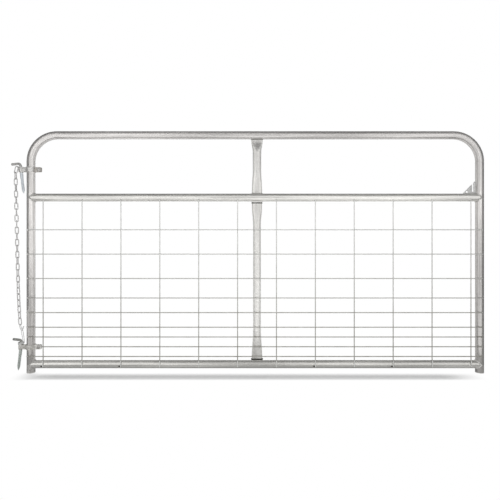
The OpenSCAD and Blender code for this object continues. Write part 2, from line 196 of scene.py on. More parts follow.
@dataclass(frozen=True)
class FrameCourse:
    """The course of the bent frame tube, so that streaks can follow it round the bends."""

    middle_x: float
    half_w: float
    top_z: float
    bend_r: float

    def straightened(self, pad: ShaderPad, spot: Socket) -> Socket:
        """Turns Object coordinates into ones that run across, through and along the tube.

        Args:
            pad: The material's tree.
            spot: Object coordinates.

        Returns:
            The coordinates, with the distance along the tube last.
        """
        split = pad.add("ShaderNodeSeparateXYZ", {"Vector": spot}).node.outputs
        off = pad.maths("ABSOLUTE", pad.maths("SUBTRACT", split["X"], self.middle_x))
        side = pad.maths("SUBTRACT", off, self.half_w - self.bend_r)
        rise = pad.maths("SUBTRACT", split["Z"], self.top_z - self.bend_r)
        round_side, round_rise = pad.maths("MAXIMUM", side, 0.0), pad.maths("MAXIMUM", rise, 0.0)
        square = pad.maths("MULTIPLY", round_side, round_side)
        reach = pad.maths("SQRT", pad.maths("MULTIPLY_ADD", round_rise, round_rise, square))
        inner = pad.maths("MINIMUM", pad.maths("MAXIMUM", side, rise), 0.0)
        across = pad.maths("ADD", reach, inner)
        along = pad.maths("ADD", split["X"], split["Z"])
        return pad.add("ShaderNodeCombineXYZ", {"X": across, "Y": split["Y"], "Z": along})


FINE_SCALE = 420.0
LINE_SCALE = 4.0
BROAD_SCALE = 1.7
BLOTCH_GAIN = 2.2
STREAK_GAIN = 1.6
TONE_ENDS = (0.12, 0.88)
SHEEN_SHARES = (0.9, 0.5, 0.4)
RELIEF_DEPTH = 0.0006
LINE_RELIEF = 0.3
# Tint of the darkening near the ground, which is painted shade and partly dirt.
GRIME_AND_SHADE_TINT = (0.45, 0.43, 0.37)


@dataclass(frozen=True)
class ZincFinish:
    """A galvanised or plated steel finish, with blotches, spangle, streaks and darkening near the ground.

    The darkening is painted shade, partly dirt. Its top is the height where it ends, its foot the
    height below which there is none and its low value its share on the cleanest patches.
    """

    name: str
    light: Colour
    dark: Colour
    grain: Grain = Grain.NONE
    metallic: float = 0.18
    specular: float = 0.2
    rough: Span = (0.4, 0.56)
    blotch: float = 0.3
    blotch_scale: float = 14.0
    spangle: float = 0.25
    spangle_scale: float = 130.0
    streak: float = 0.3
    speck: float = 0.25
    grit: float = 0.7
    band: float = 0.0
    bump: float = 0.12
    grime_and_shade: float = 0.0
    grime_and_shade_top: float = 0.12
    grime_and_shade_foot: float = -1.0
    grime_and_shade_low: float = 0.5
    course: FrameCourse | None = None

    def material(self) -> bpy.types.Material:
        """Builds the finish's node material.

        Returns:
            The material, made once and found again by its name.
        """
        found = bpy.data.materials.get(self.name)
        if found:
            return found
        made = bpy.data.materials.new(self.name)
        pad = ShaderPad(made)
        spot = pad.add("ShaderNodeTexCoord", {}, out="Object")
        cloud = pad.noise(spot, self.blotch_scale, detail=5.0, roughness=0.6)
        fine = pad.noise(spot, FINE_SCALE, detail=3.0, roughness=0.65)
        cells = {"Vector": spot, "Scale": self.spangle_scale, "Randomness": 1.0}
        crystal = pad.add("ShaderNodeTexVoronoi", cells, out="Color")
        flake = pad.add("ShaderNodeSeparateColor", {"Color": crystal})
        run = self.course.straightened(pad, spot) if self.course else spot
        drawn = pad.add("ShaderNodeMapping", {"Vector": run, "Scale": self.grain.value})
        line = pad.noise(drawn, LINE_SCALE, detail=3.0, roughness=0.55)
        broad = pad.noise(drawn, BROAD_SCALE, detail=1.0, roughness=0.4)
        tone = pad.total(
            (cloud, BLOTCH_GAIN * self.blotch), (flake, self.spangle), (line, STREAK_GAIN * self.streak),
            (broad, self.band), (fine, self.speck),
        )
        colour = pad.add("ShaderNodeValToRGB", {"Fac": tone})
        for stop, end, tint in zip(colour.node.color_ramp.elements, TONE_ENDS, (self.dark, self.light)):
            stop.position, stop.color = end, (*tint, 1)
        # Darkening towards the ground: painted shade, partly dirt.
        if self.grime_and_shade:
            colour = self.soiled_and_shaded(pad, spot, cloud, colour)
        sheen = pad.total(*zip((cloud, flake, fine), SHEEN_SHARES))
        low, high = self.rough
        rough = pad.add("ShaderNodeMapRange", {"Value": sheen, "To Min": low, "To Max": high})
        relief = pad.total((fine, self.grit), (flake, self.grit / 2), (line, LINE_RELIEF))
        bumps = {"Strength": self.bump, "Distance": RELIEF_DEPTH, "Height": relief}
        pad.wire(made.node_tree.nodes["Principled BSDF"], {
            "Base Color": colour, "Metallic": self.metallic, "Specular IOR Level": self.specular,
            "Roughness": rough, "Normal": pad.add("ShaderNodeBump", bumps),
        })
        return made

    def soiled_and_shaded(self, pad: ShaderPad, spot: Socket, cloud: Socket, colour: Socket) -> Socket:
        """Darkens a colour towards the ground, as painted shade that is partly dirt.

        Args:
            pad: The material's tree.
            spot: Object coordinates.
            cloud: The finish's blotches, which break the darkening up.
            colour: The colour before darkening.

        Returns:
            The darkened colour.
        """
        height = pad.add("ShaderNodeSeparateXYZ", {"Vector": spot}, out="Z")
        near = pad.add(
            "ShaderNodeMapRange",
            {"Value": height, "From Min": 0.0, "From Max": self.grime_and_shade_top, "To Min": 1.0, "To Max": 0.0},
            interpolation_type="SMOOTHSTEP",
        )
        patch = pad.add(
            "ShaderNodeMapRange",
            {"Value": cloud, "From Min": 0.3, "From Max": 0.7, "To Min": self.grime_and_shade_low, "To Max": 1.0},
        )
        share = pad.maths("MULTIPLY", near, patch)
        if self.grime_and_shade_foot > 0:
            share = pad.maths("MULTIPLY", share, pad.maths("GREATER_THAN", height, self.grime_and_shade_foot))
        share = pad.maths("MULTIPLY", share, self.grime_and_shade)
        shade = (*(tint * c for tint, c in zip(GRIME_AND_SHADE_TINT, self.dark)), 1)
        # Inputs 6 and 7 and output 2 are the ones for colours.
        return pad.add("ShaderNodeMix", {"Factor": share, 6: colour, 7: shade}, out=2, data_type="RGBA")


FRAME_ZINC = ZincFinish(
    "frame_zinc", (0.85, 0.827, 0.807), (0.4, 0.387, 0.376), Grain.ALONG_Z, metallic=0.45,
    rough=(0.09, 0.15), blotch=0.08, blotch_scale=70.0, spangle=0.04, speck=0.05, grit=0.0, streak=1.0,
    band=0.8, bump=0.02, grime_and_shade=0.17, grime_and_shade_top=0.42,
)
FOOT_ZINC = replace(
    FRAME_ZINC, name="foot_zinc", light=(0.97, 0.95, 0.92), dark=(0.5, 0.485, 0.465), blotch=0.8,
    blotch_scale=80.0, grime_and_shade=0.0,
)
RAIL_ZINC = replace(
    FRAME_ZINC, name="rail_zinc", light=(0.96, 0.947, 0.908), dark=(0.52, 0.513, 0.492),
    grain=Grain.ALONG_X, blotch_scale=14.0, grime_and_shade=0.0,
)
STAY_ZINC = ZincFinish(
    "stay_zinc", (0.86, 0.85, 0.825), (0.54, 0.53, 0.51), Grain.ALONG_Z, metallic=0.36, rough=(0.18, 0.28),
    blotch=0.25, blotch_scale=150.0, spangle=0.05, speck=0.06, grit=0.05, streak=0.9, band=0.7, bump=0.03,
    grime_and_shade=0.5, grime_and_shade_top=0.32, grime_and_shade_low=-0.3,
)
MOTTLED_ZINC = replace(STAY_ZINC, name="mottled_zinc", blotch=0.8, blotch_scale=80.0, grime_and_shade=0.3)
# A darker copy of the stay's finish on the flats of the upper stay's pressed head: painted shade.
SHADED_FACET_ZINC = replace(
    STAY_ZINC, name="shaded_facet_zinc", light=(0.72, 0.71, 0.69), dark=(0.4, 0.393, 0.38), grime_and_shade=0.0
)
# The wires' strong darkening towards the ground is painted shade, partly dirt.
WIRE_ZINC = ZincFinish(
    "infill_zinc", (0.82, 0.82, 0.8), (0.6, 0.6, 0.585), metallic=0.08, rough=(0.55, 0.7),
    spangle_scale=400.0, blotch_scale=30.0, grime_and_shade=1.0, grime_and_shade_top=0.95, grime_and_shade_foot=0.068,
)
KEEPER_ZINC = ZincFinish(
    "plate_zinc", (0.72, 0.72, 0.71), (0.47, 0.47, 0.465), metallic=0.25, blotch=0.5, blotch_scale=40.0,
    spangle=0.4, bump=0.25,
)
# Lit and shaded copies of one strap finish: the upper strap's is lighter and the lower strap's darker,
# painted light and shade.
LIT_UPPER_STRAP_ZINC = ZincFinish(
    "lit_upper_strap_zinc", (0.87, 0.86, 0.84), (0.46, 0.453, 0.437), metallic=0.3, blotch=0.8,
    blotch_scale=60.0, bump=0.2,
)
SHADED_LOWER_STRAP_ZINC = replace(
    LIT_UPPER_STRAP_ZINC, name="shaded_lower_strap_zinc", light=(0.7, 0.685, 0.65), dark=(0.43, 0.42, 0.395),
    metallic=0.15, blotch=0.7, rough=(0.5, 0.65),
)
# Each hinge's ear takes its own tone: painted shade on the upper ear and a painted highlight on the lower
# one.
SHADED_UPPER_EAR_ZINC = replace(
    LIT_UPPER_STRAP_ZINC, name="shaded_upper_ear_zinc", light=(0.56, 0.535, 0.5), dark=(0.3, 0.285, 0.265)
)
LIT_LOWER_EAR_ZINC = replace(
    LIT_UPPER_STRAP_ZINC, name="lit_lower_ear_zinc", light=(0.82, 0.81, 0.78), dark=(0.44, 0.43, 0.41),
    metallic=0.2, blotch_scale=70.0,
)
BOLT_ZINC = ZincFinish(
    "bolt_zinc", (0.64, 0.63, 0.61), (0.36, 0.353, 0.34), metallic=0.3, blotch=0.6, blotch_scale=70.0
)
UPPER_PIN_ZINC = ZincFinish(
    "upper_pin_zinc", (0.66, 0.65, 0.63), (0.44, 0.435, 0.42), metallic=0.25, blotch=0.5,
    blotch_scale=60.0, bump=0.15,
)
LOWER_PIN_ZINC = replace(
    UPPER_PIN_ZINC, name="lower_pin_zinc", light=(0.42, 0.42, 0.4), dark=(0.24, 0.24, 0.225)
)
UPPER_LAG_ZINC = ZincFinish(
    "upper_lag_zinc", (0.85, 0.89, 0.92), (0.63, 0.675, 0.715), metallic=0.3, blotch_scale=50.0, bump=0.15
)
LOWER_LAG_ZINC = replace(
    UPPER_LAG_ZINC, name="lower_lag_zinc", light=(0.6, 0.64, 0.61), dark=(0.4, 0.435, 0.41), metallic=0.25
)
CHAIN_ZINC = ZincFinish(
    "link_zinc", (0.76, 0.75, 0.745), (0.54, 0.53, 0.525), metallic=0.15, blotch_scale=60.0,
    rough=(0.5, 0.65),
)
TIE_WIRE = replace(
    CHAIN_ZINC, name="soft_wire", light=(0.78, 0.78, 0.77), dark=(0.56, 0.56, 0.55), blotch_scale=80.0
)
WELD_ZINC = ZincFinish(
    "weld_zinc", (0.64, 0.63, 0.61), (0.32, 0.315, 0.3), blotch=0.6, blotch_scale=130.0, rough=(0.45, 0.7),
    bump=0.5,
)
BRIGHT_WELD = replace(
    WELD_ZINC, name="bright_weld", light=(0.9, 0.89, 0.87), dark=(0.6, 0.59, 0.575), bump=0.4
)
# A dark copy of the weld finish that paints the contact shadow where the upper stay's head meets the top
# rail.
CONTACT_SHADOW_WELD = replace(
    WELD_ZINC, name="contact_shadow_weld", light=(0.24, 0.235, 0.22), dark=(0.1, 0.098, 0.09), blotch_scale=120.0,
    rough=(0.5, 0.75),
)
# Nearly black beads that paint the shadow in the gaps at the lower stay's ends and beside some wires' feet,
# where they are partly burnt weld.
BURN_AND_SHADOW_WELD = replace(
    CONTACT_SHADOW_WELD, name="burn_and_shadow_weld", light=(0.09, 0.088, 0.08), dark=(0.02, 0.02, 0.018), metallic=0.0,
    rough=(0.6, 0.8),
)


def around(sides: int) -> list[Span]:
    """Gives the cosine and sine of each corner of a regular polygon."""
    return [(math.cos(math.tau * k / sides), math.sin(math.tau * k / sides)) for k in range(sides)]


class Skin:
    """Points and faces of a mesh under construction."""

    def __init__(self) -> None:
        """Starts with no points and no faces."""
        self.points: list[Vector] = []
        self.faces: list[tuple[int, ...]] = []

    def ring(self, points: Iterable[Vector | Point]) -> list[int]:
        """Adds points.

        Args:
            points: The points, in order.

        Returns:
            Their numbers.
        """
        first = len(self.points)
        self.points.extend(Vector(p) for p in points)
        return list(range(first, len(self.points)))

    def flat(self, corners: Iterable[Point]) -> None:
        """Adds one flat face."""
        self.faces.append(tuple(self.ring(corners)))

    def bridge(self, a: Sequence[int], b: Sequence[int]) -> None:
        """Joins two closed rings of the same length with quads."""
        n = len(a)
        self.faces.extend((a[k], a[(k + 1) % n], b[(k + 1) % n], b[k]) for k in range(n))

    def loft(self, rings: Sequence[Sequence[int]]) -> None:
        """Joins each closed ring of a row to the next one."""
        for a, b in zip(rings, rings[1:]):
            self.bridge(a, b)

    def cap(self, *rings: Sequence[int]) -> None:
        """Closes rings, each with a fan about its middle.

        Args:
            rings: The point numbers of each ring.
        """
        for ring in rings:
            middle = self.ring([sum((self.points[i] for i in ring), Vector()) / len(ring)])[0]
            n = len(ring)
            self.faces.extend((ring[k], ring[(k + 1) % n], middle) for k in range(n))

    def lathe(self, profile: Sequence[Span], sides: int = 40) -> None:
        """Turns a solid about Z.

        Args:
            profile: Pairs of radius and height, from one end to the other.
            sides: Sides of the solid.
        """
        rings = [self.ring((r * c, r * s, z) for c, s in around(sides)) for r, z in profile]
        self.loft(rings)
        self.cap(rings[0], rings[-1])

    def along(
        self, path: Sequence[Vector], radius: float | Sequence[float], sides: int, closed: bool = False
    ) -> list[list[int]]:
        """Sets round sections along a path, carried without twist.

        Args:
            path: The points of the centre line.
            radius: The section's radius, or one for each point.
            sides: Sides of the section.
            closed: Whether the last point joins the first one.

        Returns:
            The sections' point numbers, joined with quads from each to the next.
        """
        n = len(path)
        radii = [radius] * n if isinstance(radius, float) else list(radius)
        rings = []
        side = None
        for i, p in enumerate(path):
            ahead = path[(i + 1) % n] if closed else path[min(i + 1, n - 1)]
            behind = path[i - 1] if closed or i else path[0]
            along = (ahead - behind).normalized()
            if side is None:
                side = along.orthogonal()
            side = (side - side.dot(along) * along).normalized()
            other = along.cross(side)
            rings.append(self.ring(p + radii[i] * (c * side + s * other) for c, s in around(sides)))
        self.loft(rings)
        return rings

    def sweep(
        self, path: Sequence[Vector], radius: float | Sequence[float], sides: int, closed: bool = False
    ) -> None:
        """Sweeps a solid round bar along a path.

        Args:
            path: The points of the centre line.
            radius: The bar's radius, or one for each point.
            sides: Sides of the bar.
            closed: Whether the last point joins the first one.
        """
        rings = self.along(path, radius, sides, closed)
        if closed:
            self.bridge(rings[-1], rings[0])
        else:
            self.cap(rings[0], rings[-1])

    def pipe(self, shells: Sequence[Sequence[list[int]]]) -> None:
        """Closes the open ends between an outer and an inner shell of sections."""
        for end in (0, -1):
            self.bridge(shells[0][end], shells[1][end])

    def mesh(self, name: str, crease: float = 35.0) -> Mesh:
        """Makes the mesh, with its faces turned outwards and smooth up to the crease angle.

        Args:
            name: The mesh's name.
            crease: Angle in degrees above which an edge stays sharp.

        Returns:
            The finished mesh.
        """
        made = bpy.data.meshes.new(name)
        work = bmesh.new()
        for p in self.points:
            work.verts.new(p)
        work.verts.ensure_lookup_table()
        for f in self.faces:
            work.faces.new([work.verts[i] for i in f])
        bmesh.ops.remove_doubles(work, verts=work.verts, dist=1e-7)
        bmesh.ops.recalc_face_normals(work, faces=work.faces)
        work.to_mesh(made)
        work.free()
        smooth(made, crease)
        return made


def smooth(mesh: Mesh, crease: float) -> None:
    """Shades a mesh smooth, with edges above the crease angle in degrees left sharp."""
    mesh.polygons.foreach_set("use_smooth", [True] * len(mesh.polygons))
    mesh.set_sharp_from_angle(angle=math.radians(crease))


def place(mesh: Mesh, finish: ZincFinish | None = None) -> Piece:
    """Puts a mesh into the scene as an object of the same name, at the origin.

    Args:
        mesh: The mesh, which holds its own place.
        finish: The finish, for a mesh that has none yet.

    Returns:
        The object.
    """
    made = bpy.data.objects.new(mesh.name, mesh)
    bpy.context.scene.collection.objects.link(made)
    if finish:
        mesh.materials.append(finish.material())
    return made


def seat(piece: Piece, body: str, slot: str, *nodes: str) -> None:
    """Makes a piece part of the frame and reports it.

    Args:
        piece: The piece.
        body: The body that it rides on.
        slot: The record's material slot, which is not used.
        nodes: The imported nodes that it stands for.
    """
    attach(piece, body)
    if nodes:
        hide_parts(*nodes)
    LOG.info("%s rides on %s, %d faces", piece.name, body, len(piece.data.polygons))


def dress(node: Piece, finish: ZincFinish) -> None:
    """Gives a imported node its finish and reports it.

    Args:
        node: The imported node.
        finish: The finish.
    """
    if node.material_slots:
        for held in node.material_slots:
            held.material = finish.material()
    else:
        node.data.materials.append(finish.material())
    LOG.info("%s dressed in %s", node.name, finish.name)


def softened(node: Piece, width: float, name: str) -> Mesh:
    """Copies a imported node's mesh with its sharp edges rounded.

    Args:
        node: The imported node, which is left as it is.
        width: Width of the rounding in metres.
        name: The new mesh's name.

    Returns:
        The softened copy.
    """
    made = bpy.data.meshes.new(name)
    work = bmesh.new()
    work.from_mesh(node.data)
    bmesh.ops.remove_doubles(work, verts=work.verts, dist=2e-6)
    bmesh.ops.dissolve_limit(work, angle_limit=math.radians(0.3), verts=work.verts, edges=work.edges)
    least = math.radians(40)
    sharp = [e for e in work.edges if len(e.link_faces) == 2 and e.calc_face_angle(0.0) > least]
    bmesh.ops.bevel(
        work, geom=sharp, offset=width, segments=2, profile=0.5, affect="EDGES", clamp_overlap=True
    )
    bmesh.ops.triangulate(work, faces=[f for f in work.faces if len(f.verts) > 4])
    work.to_mesh(made)
    work.free()
    smooth(made, crease=38.0)
    return made


def eased(points: Sequence[Vector], steps: int) -> list[Vector]:
    """Runs a smooth curve through points.

    Args:
        points: The points.
        steps: Steps between each two of them.

    Returns:
        The curve's points.
    """
    path = []
    last = len(points) - 1
    for i in range(last):
        a, b, c, d = (points[min(max(i + k, 0), last)] for k in (-1, 0, 1, 2))
        for k in range(steps):
            t = k / steps
            bend, twist = 2 * a - 5 * b + 4 * c - d, 3 * b - a - 3 * c + d
            path.append(0.5 * (2 * b + (c - a) * t + bend * t * t + twist * t**3))
    path.append(Vector(points[-1]))
    return path


class NodeSheet(NodePad):
    """A Geometry Nodes tree under construction, with named sizes and one finish."""

    def __init__(self, name: str) -> None:
        """Starts a tree with a geometry coming in and one going out.

        Args:
            name: The tree's name.
        """
        super().__init__(bpy.data.node_groups.new(name, "GeometryNodeTree"))
        self.tree.is_modifier = True
        for way in ("OUTPUT", "INPUT"):
            self.tree.interface.new_socket("Geometry", in_out=way, socket_type="NodeSocketGeometry")
        self.start = self.tree.nodes.new("NodeGroupInput")
        self.end = self.tree.nodes.new("NodeGroupOutput")

    @property
    def base(self) -> Socket:
        """The geometry that comes in."""
        return self.start.outputs["Geometry"]

    def size(self, name: str, kind: str = "Float") -> Socket:
        """Adds a named input and returns its socket."""
        self.tree.interface.new_socket(name, in_out="INPUT", socket_type="NodeSocket" + kind)
        return self.start.outputs[name]

    def sizes(self, *names: str) -> list[Socket]:
        """Adds a named input for each of some lengths or numbers."""
        return [self.size(name) for name in names]

    def close(self, geometry: Socket) -> "NodeSheet":
        """Ends the tree: smooth faces, real instances and the finish.

        Args:
            geometry: What the tree has made.

        Returns:
            The finished tree itself.
        """
        soft = self.add("GeometryNodeSetShadeSmooth", {"Geometry": geometry})
        whole = self.add("GeometryNodeRealizeInstances", {"Geometry": soft})
        finish = self.size("Finish", "Material")
        dressed = self.add("GeometryNodeSetMaterial", {"Geometry": whole, "Material": finish})
        self.wire(self.end, {"Geometry": dressed})
        return self

    def grow(self, name: str, base: Mesh, sizes: dict[str, float], finish: ZincFinish) -> Mesh:
        """Runs the tree over a base mesh, which is used up.

        Args:
            name: Name of the result.
            base: The points or edges that the tree starts from.
            sizes: Values of the tree's named inputs.
            finish: The finish of the result.

        Returns:
            A plain mesh.
        """
        holder = bpy.data.objects.new(name + "_base", base)
        bpy.context.scene.collection.objects.link(holder)
        run = holder.modifiers.new("Build", "NODES")
        run.node_group = self.tree
        values: dict[str, object] = {**sizes, "Finish": finish.material()}
        for item in self.tree.interface.items_tree:
            if item.in_out == "INPUT" and item.name in values:
                run[item.identifier] = values[item.name]
        graph = bpy.context.evaluated_depsgraph_get()
        made = bpy.data.meshes.new_from_object(
            holder.evaluated_get(graph), preserve_all_data_layers=True, depsgraph=graph
        )
        made.name = name
        holder.modifiers.remove(run)
        bpy.data.objects.remove(holder)
        bpy.data.meshes.remove(base)
        return made


def weld_sheet() -> NodeSheet:
    """Makes the tree that lays a rippled weld bead along edges.

    Returns:
        The finished tree.
    """
    sheet = NodeSheet("weld_bead")
    radius, pitch, uneven = sheet.sizes("Bead Radius", "Ripple Pitch", "Unevenness")
    ripple_depth, ripple_step = 0.13, 0.25
    step = sheet.maths("MULTIPLY", pitch, ripple_step)
    run = sheet.add("GeometryNodeMeshToCurve", {"Mesh": sheet.base})
    run = sheet.add("GeometryNodeResampleCurve", {"Curve": run, "Length": step}, mode="LENGTH")
    along = sheet.add("GeometryNodeSplineParameter", {}, out="Length")
    wave = sheet.maths("SINE", sheet.maths("MULTIPLY", sheet.maths("DIVIDE", along, pitch), math.tau))
    noise = sheet.add("ShaderNodeTexNoise", {"Scale": 160.0, "Detail": 2.0})
    swell = sheet.maths("MULTIPLY", sheet.maths("SUBTRACT", noise, 0.5), uneven)
    scale = sheet.maths("ADD", sheet.maths("MULTIPLY_ADD", wave, ripple_depth, 1.0), swell)
    section = sheet.add("GeometryNodeCurvePrimitiveCircle", {"Resolution": 10, "Radius": radius})
    bead = {"Curve": run, "Profile Curve": section, "Scale": scale, "Fill Caps": True}
    return sheet.close(sheet.add("GeometryNodeCurveToMesh", bead))


def spot_sheet() -> NodeSheet:
    """Makes the tree that sets a small flattened weld on every point.

    Returns:
        The finished tree.
    """
    sheet = NodeSheet("spot_weld")
    radius, seed = sheet.size("Spot Radius"), sheet.size("Seed", "Int")

    def chance(least: Point, most: Point, seeded: Socket) -> Socket:
        """Draws a vector for each point, between two others."""
        wires = {0: least, 1: most, "Seed": seeded}  # Inputs 0 and 1 are the limits of a vector.
        return sheet.add("FunctionNodeRandomValue", wires, data_type="FLOAT_VECTOR")

    drop = sheet.add("GeometryNodeMeshIcoSphere", {"Radius": radius, "Subdivisions": 2})
    stretch = chance((0.85, 0.5, 0.75), (1.3, 0.75, 1.1), seed)
    turn = chance((-0.2, -0.5, -0.2), (0.2, 0.5, 0.2), sheet.maths("ADD", seed, 7.0))
    lay = sheet.add("FunctionNodeEulerToRotation", {"Euler": turn})
    spots = {"Points": sheet.base, "Instance": drop, "Rotation": lay, "Scale": stretch}
    return sheet.close(sheet.add("GeometryNodeInstanceOnPoints", spots))


def chain_sheet() -> NodeSheet:
    """Makes the tree that hangs a welded link on every point, turned by the point's own attribute.

    Returns:
        The finished tree.
    """
    sheet = NodeSheet("chain_links")
    wire, width, length = sheet.sizes("Wire Radius", "Link Width", "Link Length")
    end_round, seam_half, seam_swell = 0.4999, 4.2 * MM, 0.14
    line = sheet.add("GeometryNodeCurvePrimitiveQuadrilateral", {"Width": width, "Height": length})
    ends = sheet.maths("MULTIPLY", width, end_round)
    bends = {"Curve": line, "Count": 14, "Radius": ends, "Limit Radius": True}
    line = sheet.add("GeometryNodeFilletCurve", bends, mode="POLY")
    line = sheet.add("GeometryNodeResampleCurve", {"Curve": line, "Count": 72}, mode="COUNT")
    spot = sheet.add("GeometryNodeInputPosition", {})
    split = sheet.add("ShaderNodeSeparateXYZ", {"Vector": spot}).node.outputs
    away = sheet.maths("DIVIDE", sheet.maths("ABSOLUTE", split["Y"]), seam_half)
    near = sheet.maths("MAXIMUM", sheet.maths("SUBTRACT", 1.0, away), 0.0)
    bulge = sheet.maths("MULTIPLY", near, sheet.maths("GREATER_THAN", split["X"], 0.0))
    scale = sheet.maths("MULTIPLY_ADD", bulge, seam_swell, 1.0)
    section = sheet.add("GeometryNodeCurvePrimitiveCircle", {"Resolution": 14, "Radius": wire})
    link = sheet.add("GeometryNodeCurveToMesh", {"Curve": line, "Profile Curve": section, "Scale": scale})
    upright = Euler((math.pi / 2, 0, 0))
    link = sheet.add("GeometryNodeTransform", {"Geometry": link, "Rotation": upright})
    held = sheet.add("GeometryNodeInputNamedAttribute", {"Name": "turn"}, data_type="FLOAT_VECTOR")
    turn = sheet.add("FunctionNodeEulerToRotation", {"Euler": held})
    links = {"Points": sheet.base, "Instance": link, "Rotation": turn}
    return sheet.close(sheet.add("GeometryNodeInstanceOnPoints", links))


def thread_sheet() -> NodeSheet:
    """Makes the tree that winds a screw thread's ridge up Z and in to a point.

    Returns:
        The finished tree.
    """
    sheet = NodeSheet("screw_thread")
    root, ridge, half = sheet.sizes("Root Radius", "Ridge Height", "Ridge Half Width")
    turns, length, tip_turns, tip = sheet.sizes("Turns", "Length", "Point Turns", "Point Length")
    tip_share, tip_shrink = 0.2, 0.7
    section = sheet.add("GeometryNodeCurvePrimitiveCircle", {"Resolution": 4, "Radius": 1.0})
    shape = sheet.add("ShaderNodeCombineXYZ", {"X": ridge, "Y": half, "Z": 1.0})
    section = sheet.add("GeometryNodeTransform", {"Geometry": section, "Scale": shape})

    def wound(rounds: Socket, end: Socket, rise: Socket, shrink: float) -> Socket:
        """Winds one stretch of ridge.

        Args:
            rounds: Turns of the stretch.
            end: Root radius at its end.
            rise: Its length.
            shrink: Share by which it is thinner at its end.

        Returns:
            The stretch.
        """
        coil = sheet.add("GeometryNodeCurveSpiral", {
            "Resolution": 28, "Rotations": rounds, "Start Radius": root, "End Radius": end, "Height": rise,
            "Reverse": False,
        })
        coil = sheet.add("GeometryNodeSetCurveNormal", {"Curve": coil}, mode="Z_UP")
        factor = sheet.add("GeometryNodeSplineParameter", {}, out="Factor")
        scale = sheet.maths("MULTIPLY_ADD", factor, -shrink, 1.0)
        wires = {"Curve": coil, "Profile Curve": section, "Scale": scale, "Fill Caps": True}
        return sheet.add("GeometryNodeCurveToMesh", wires)

    body = wound(turns, root, length, 0.0)
    point = wound(tip_turns, sheet.maths("MULTIPLY", root, tip_share), tip, tip_shrink)
    lift = sheet.add("ShaderNodeCombineXYZ", {"Z": length})
    point = sheet.add("GeometryNodeTransform", {"Geometry": point, "Translation": lift})
    join = sheet.tree.nodes.new("GeometryNodeJoinGeometry")
    for part in (body, point):
        sheet.wire(join, {0: part})
    return sheet.close(join.outputs[0])


def point_mesh(name: str, points: Sequence[Vector]) -> Mesh:
    """Makes a mesh of loose points.

    Args:
        name: The mesh's name.
        points: The points, which may be none.

    Returns:
        The mesh.
    """
    made = bpy.data.meshes.new(name)
    made.from_pydata([tuple(p) for p in points], [], [])
    return made


def path_mesh(name: str, runs: Sequence[Run]) -> Mesh:
    """Makes a mesh of edge runs.

    Args:
        name: The mesh's name.
        runs: For each run, its points and whether it closes.

    Returns:
        The mesh.
    """
    points, edges = [], []
    for run, closed in runs:
        first = len(points)
        points.extend(tuple(p) for p in run)
        last = len(points) - 1
        edges.extend((i, i + 1) for i in range(first, last))
        if closed:
            edges.append((last, first))
    made = bpy.data.meshes.new(name)
    made.from_pydata(points, edges, [])
    return made


def joined(name: str, meshes: Sequence[Mesh]) -> Mesh:
    """Joins meshes into one.

    Args:
        name: The new mesh's name.
        meshes: The meshes, of which the first gives the materials.

    Returns:
        The joined mesh.
    """
    work = bmesh.new()
    for mesh in meshes:
        work.from_mesh(mesh)
    made = bpy.data.meshes.new(name)
    for material in meshes[0].materials:
        made.materials.append(material)
    work.to_mesh(made)
    work.free()
    return made


def parted(mesh: Mesh, finish: ZincFinish, chosen: Callable[[Vector], bool]) -> None:
    """Gives a further finish to some faces.

    Args:
        mesh: The mesh, which has a finish.
        finish: The further finish.
        chosen: Tells by a face's middle whether it takes this finish.
    """
    mesh.materials.append(finish.material())
    for face in mesh.polygons:
        if chosen(face.center):
            face.material_index = len(mesh.materials) - 1


def middle(node: str) -> list[float]:
    """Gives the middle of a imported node's box."""
    return [(low + high) / 2 for low, high in zip(*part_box(node))]


@dataclass(frozen=True)
class Bead:
    """A rippled weld bead on the gate."""

    radius: float
    finish: ZincFinish
    ripple: float
    uneven: float = 0.5

    def lay(self, sheet: NodeSheet, name: str, runs: Sequence[Run], slot: str) -> None:
        """Lays the bead.

        Args:
            sheet: The weld bead tree.
            name: The piece's name.
            runs: The runs that it follows, and whether each closes.
            slot: The piece's material slot.
        """
        sizes = {"Bead Radius": self.radius, "Ripple Pitch": self.ripple, "Unevenness": self.uneven}
        mesh = sheet.grow(name, path_mesh(name + "_runs", runs), sizes, self.finish)
        seat(place(mesh), GATE, slot)


@dataclass(frozen=True)
class Spot:
    """A small spot weld on the infill wires."""

    radius: float
    seed: int
    finish: ZincFinish

    def set(self, sheet: NodeSheet, name: str, points: Sequence[Vector]) -> None:
        """Sets one weld on each point.

        Args:
            sheet: The spot weld tree.
            name: The piece's name.
            points: The points.
        """
        sizes = {"Spot Radius": self.radius, "Seed": self.seed}
        mesh = sheet.grow(name, point_mesh(name + "_points", points), sizes, self.finish)
        seat(place(mesh), GATE, "wire_zinc")


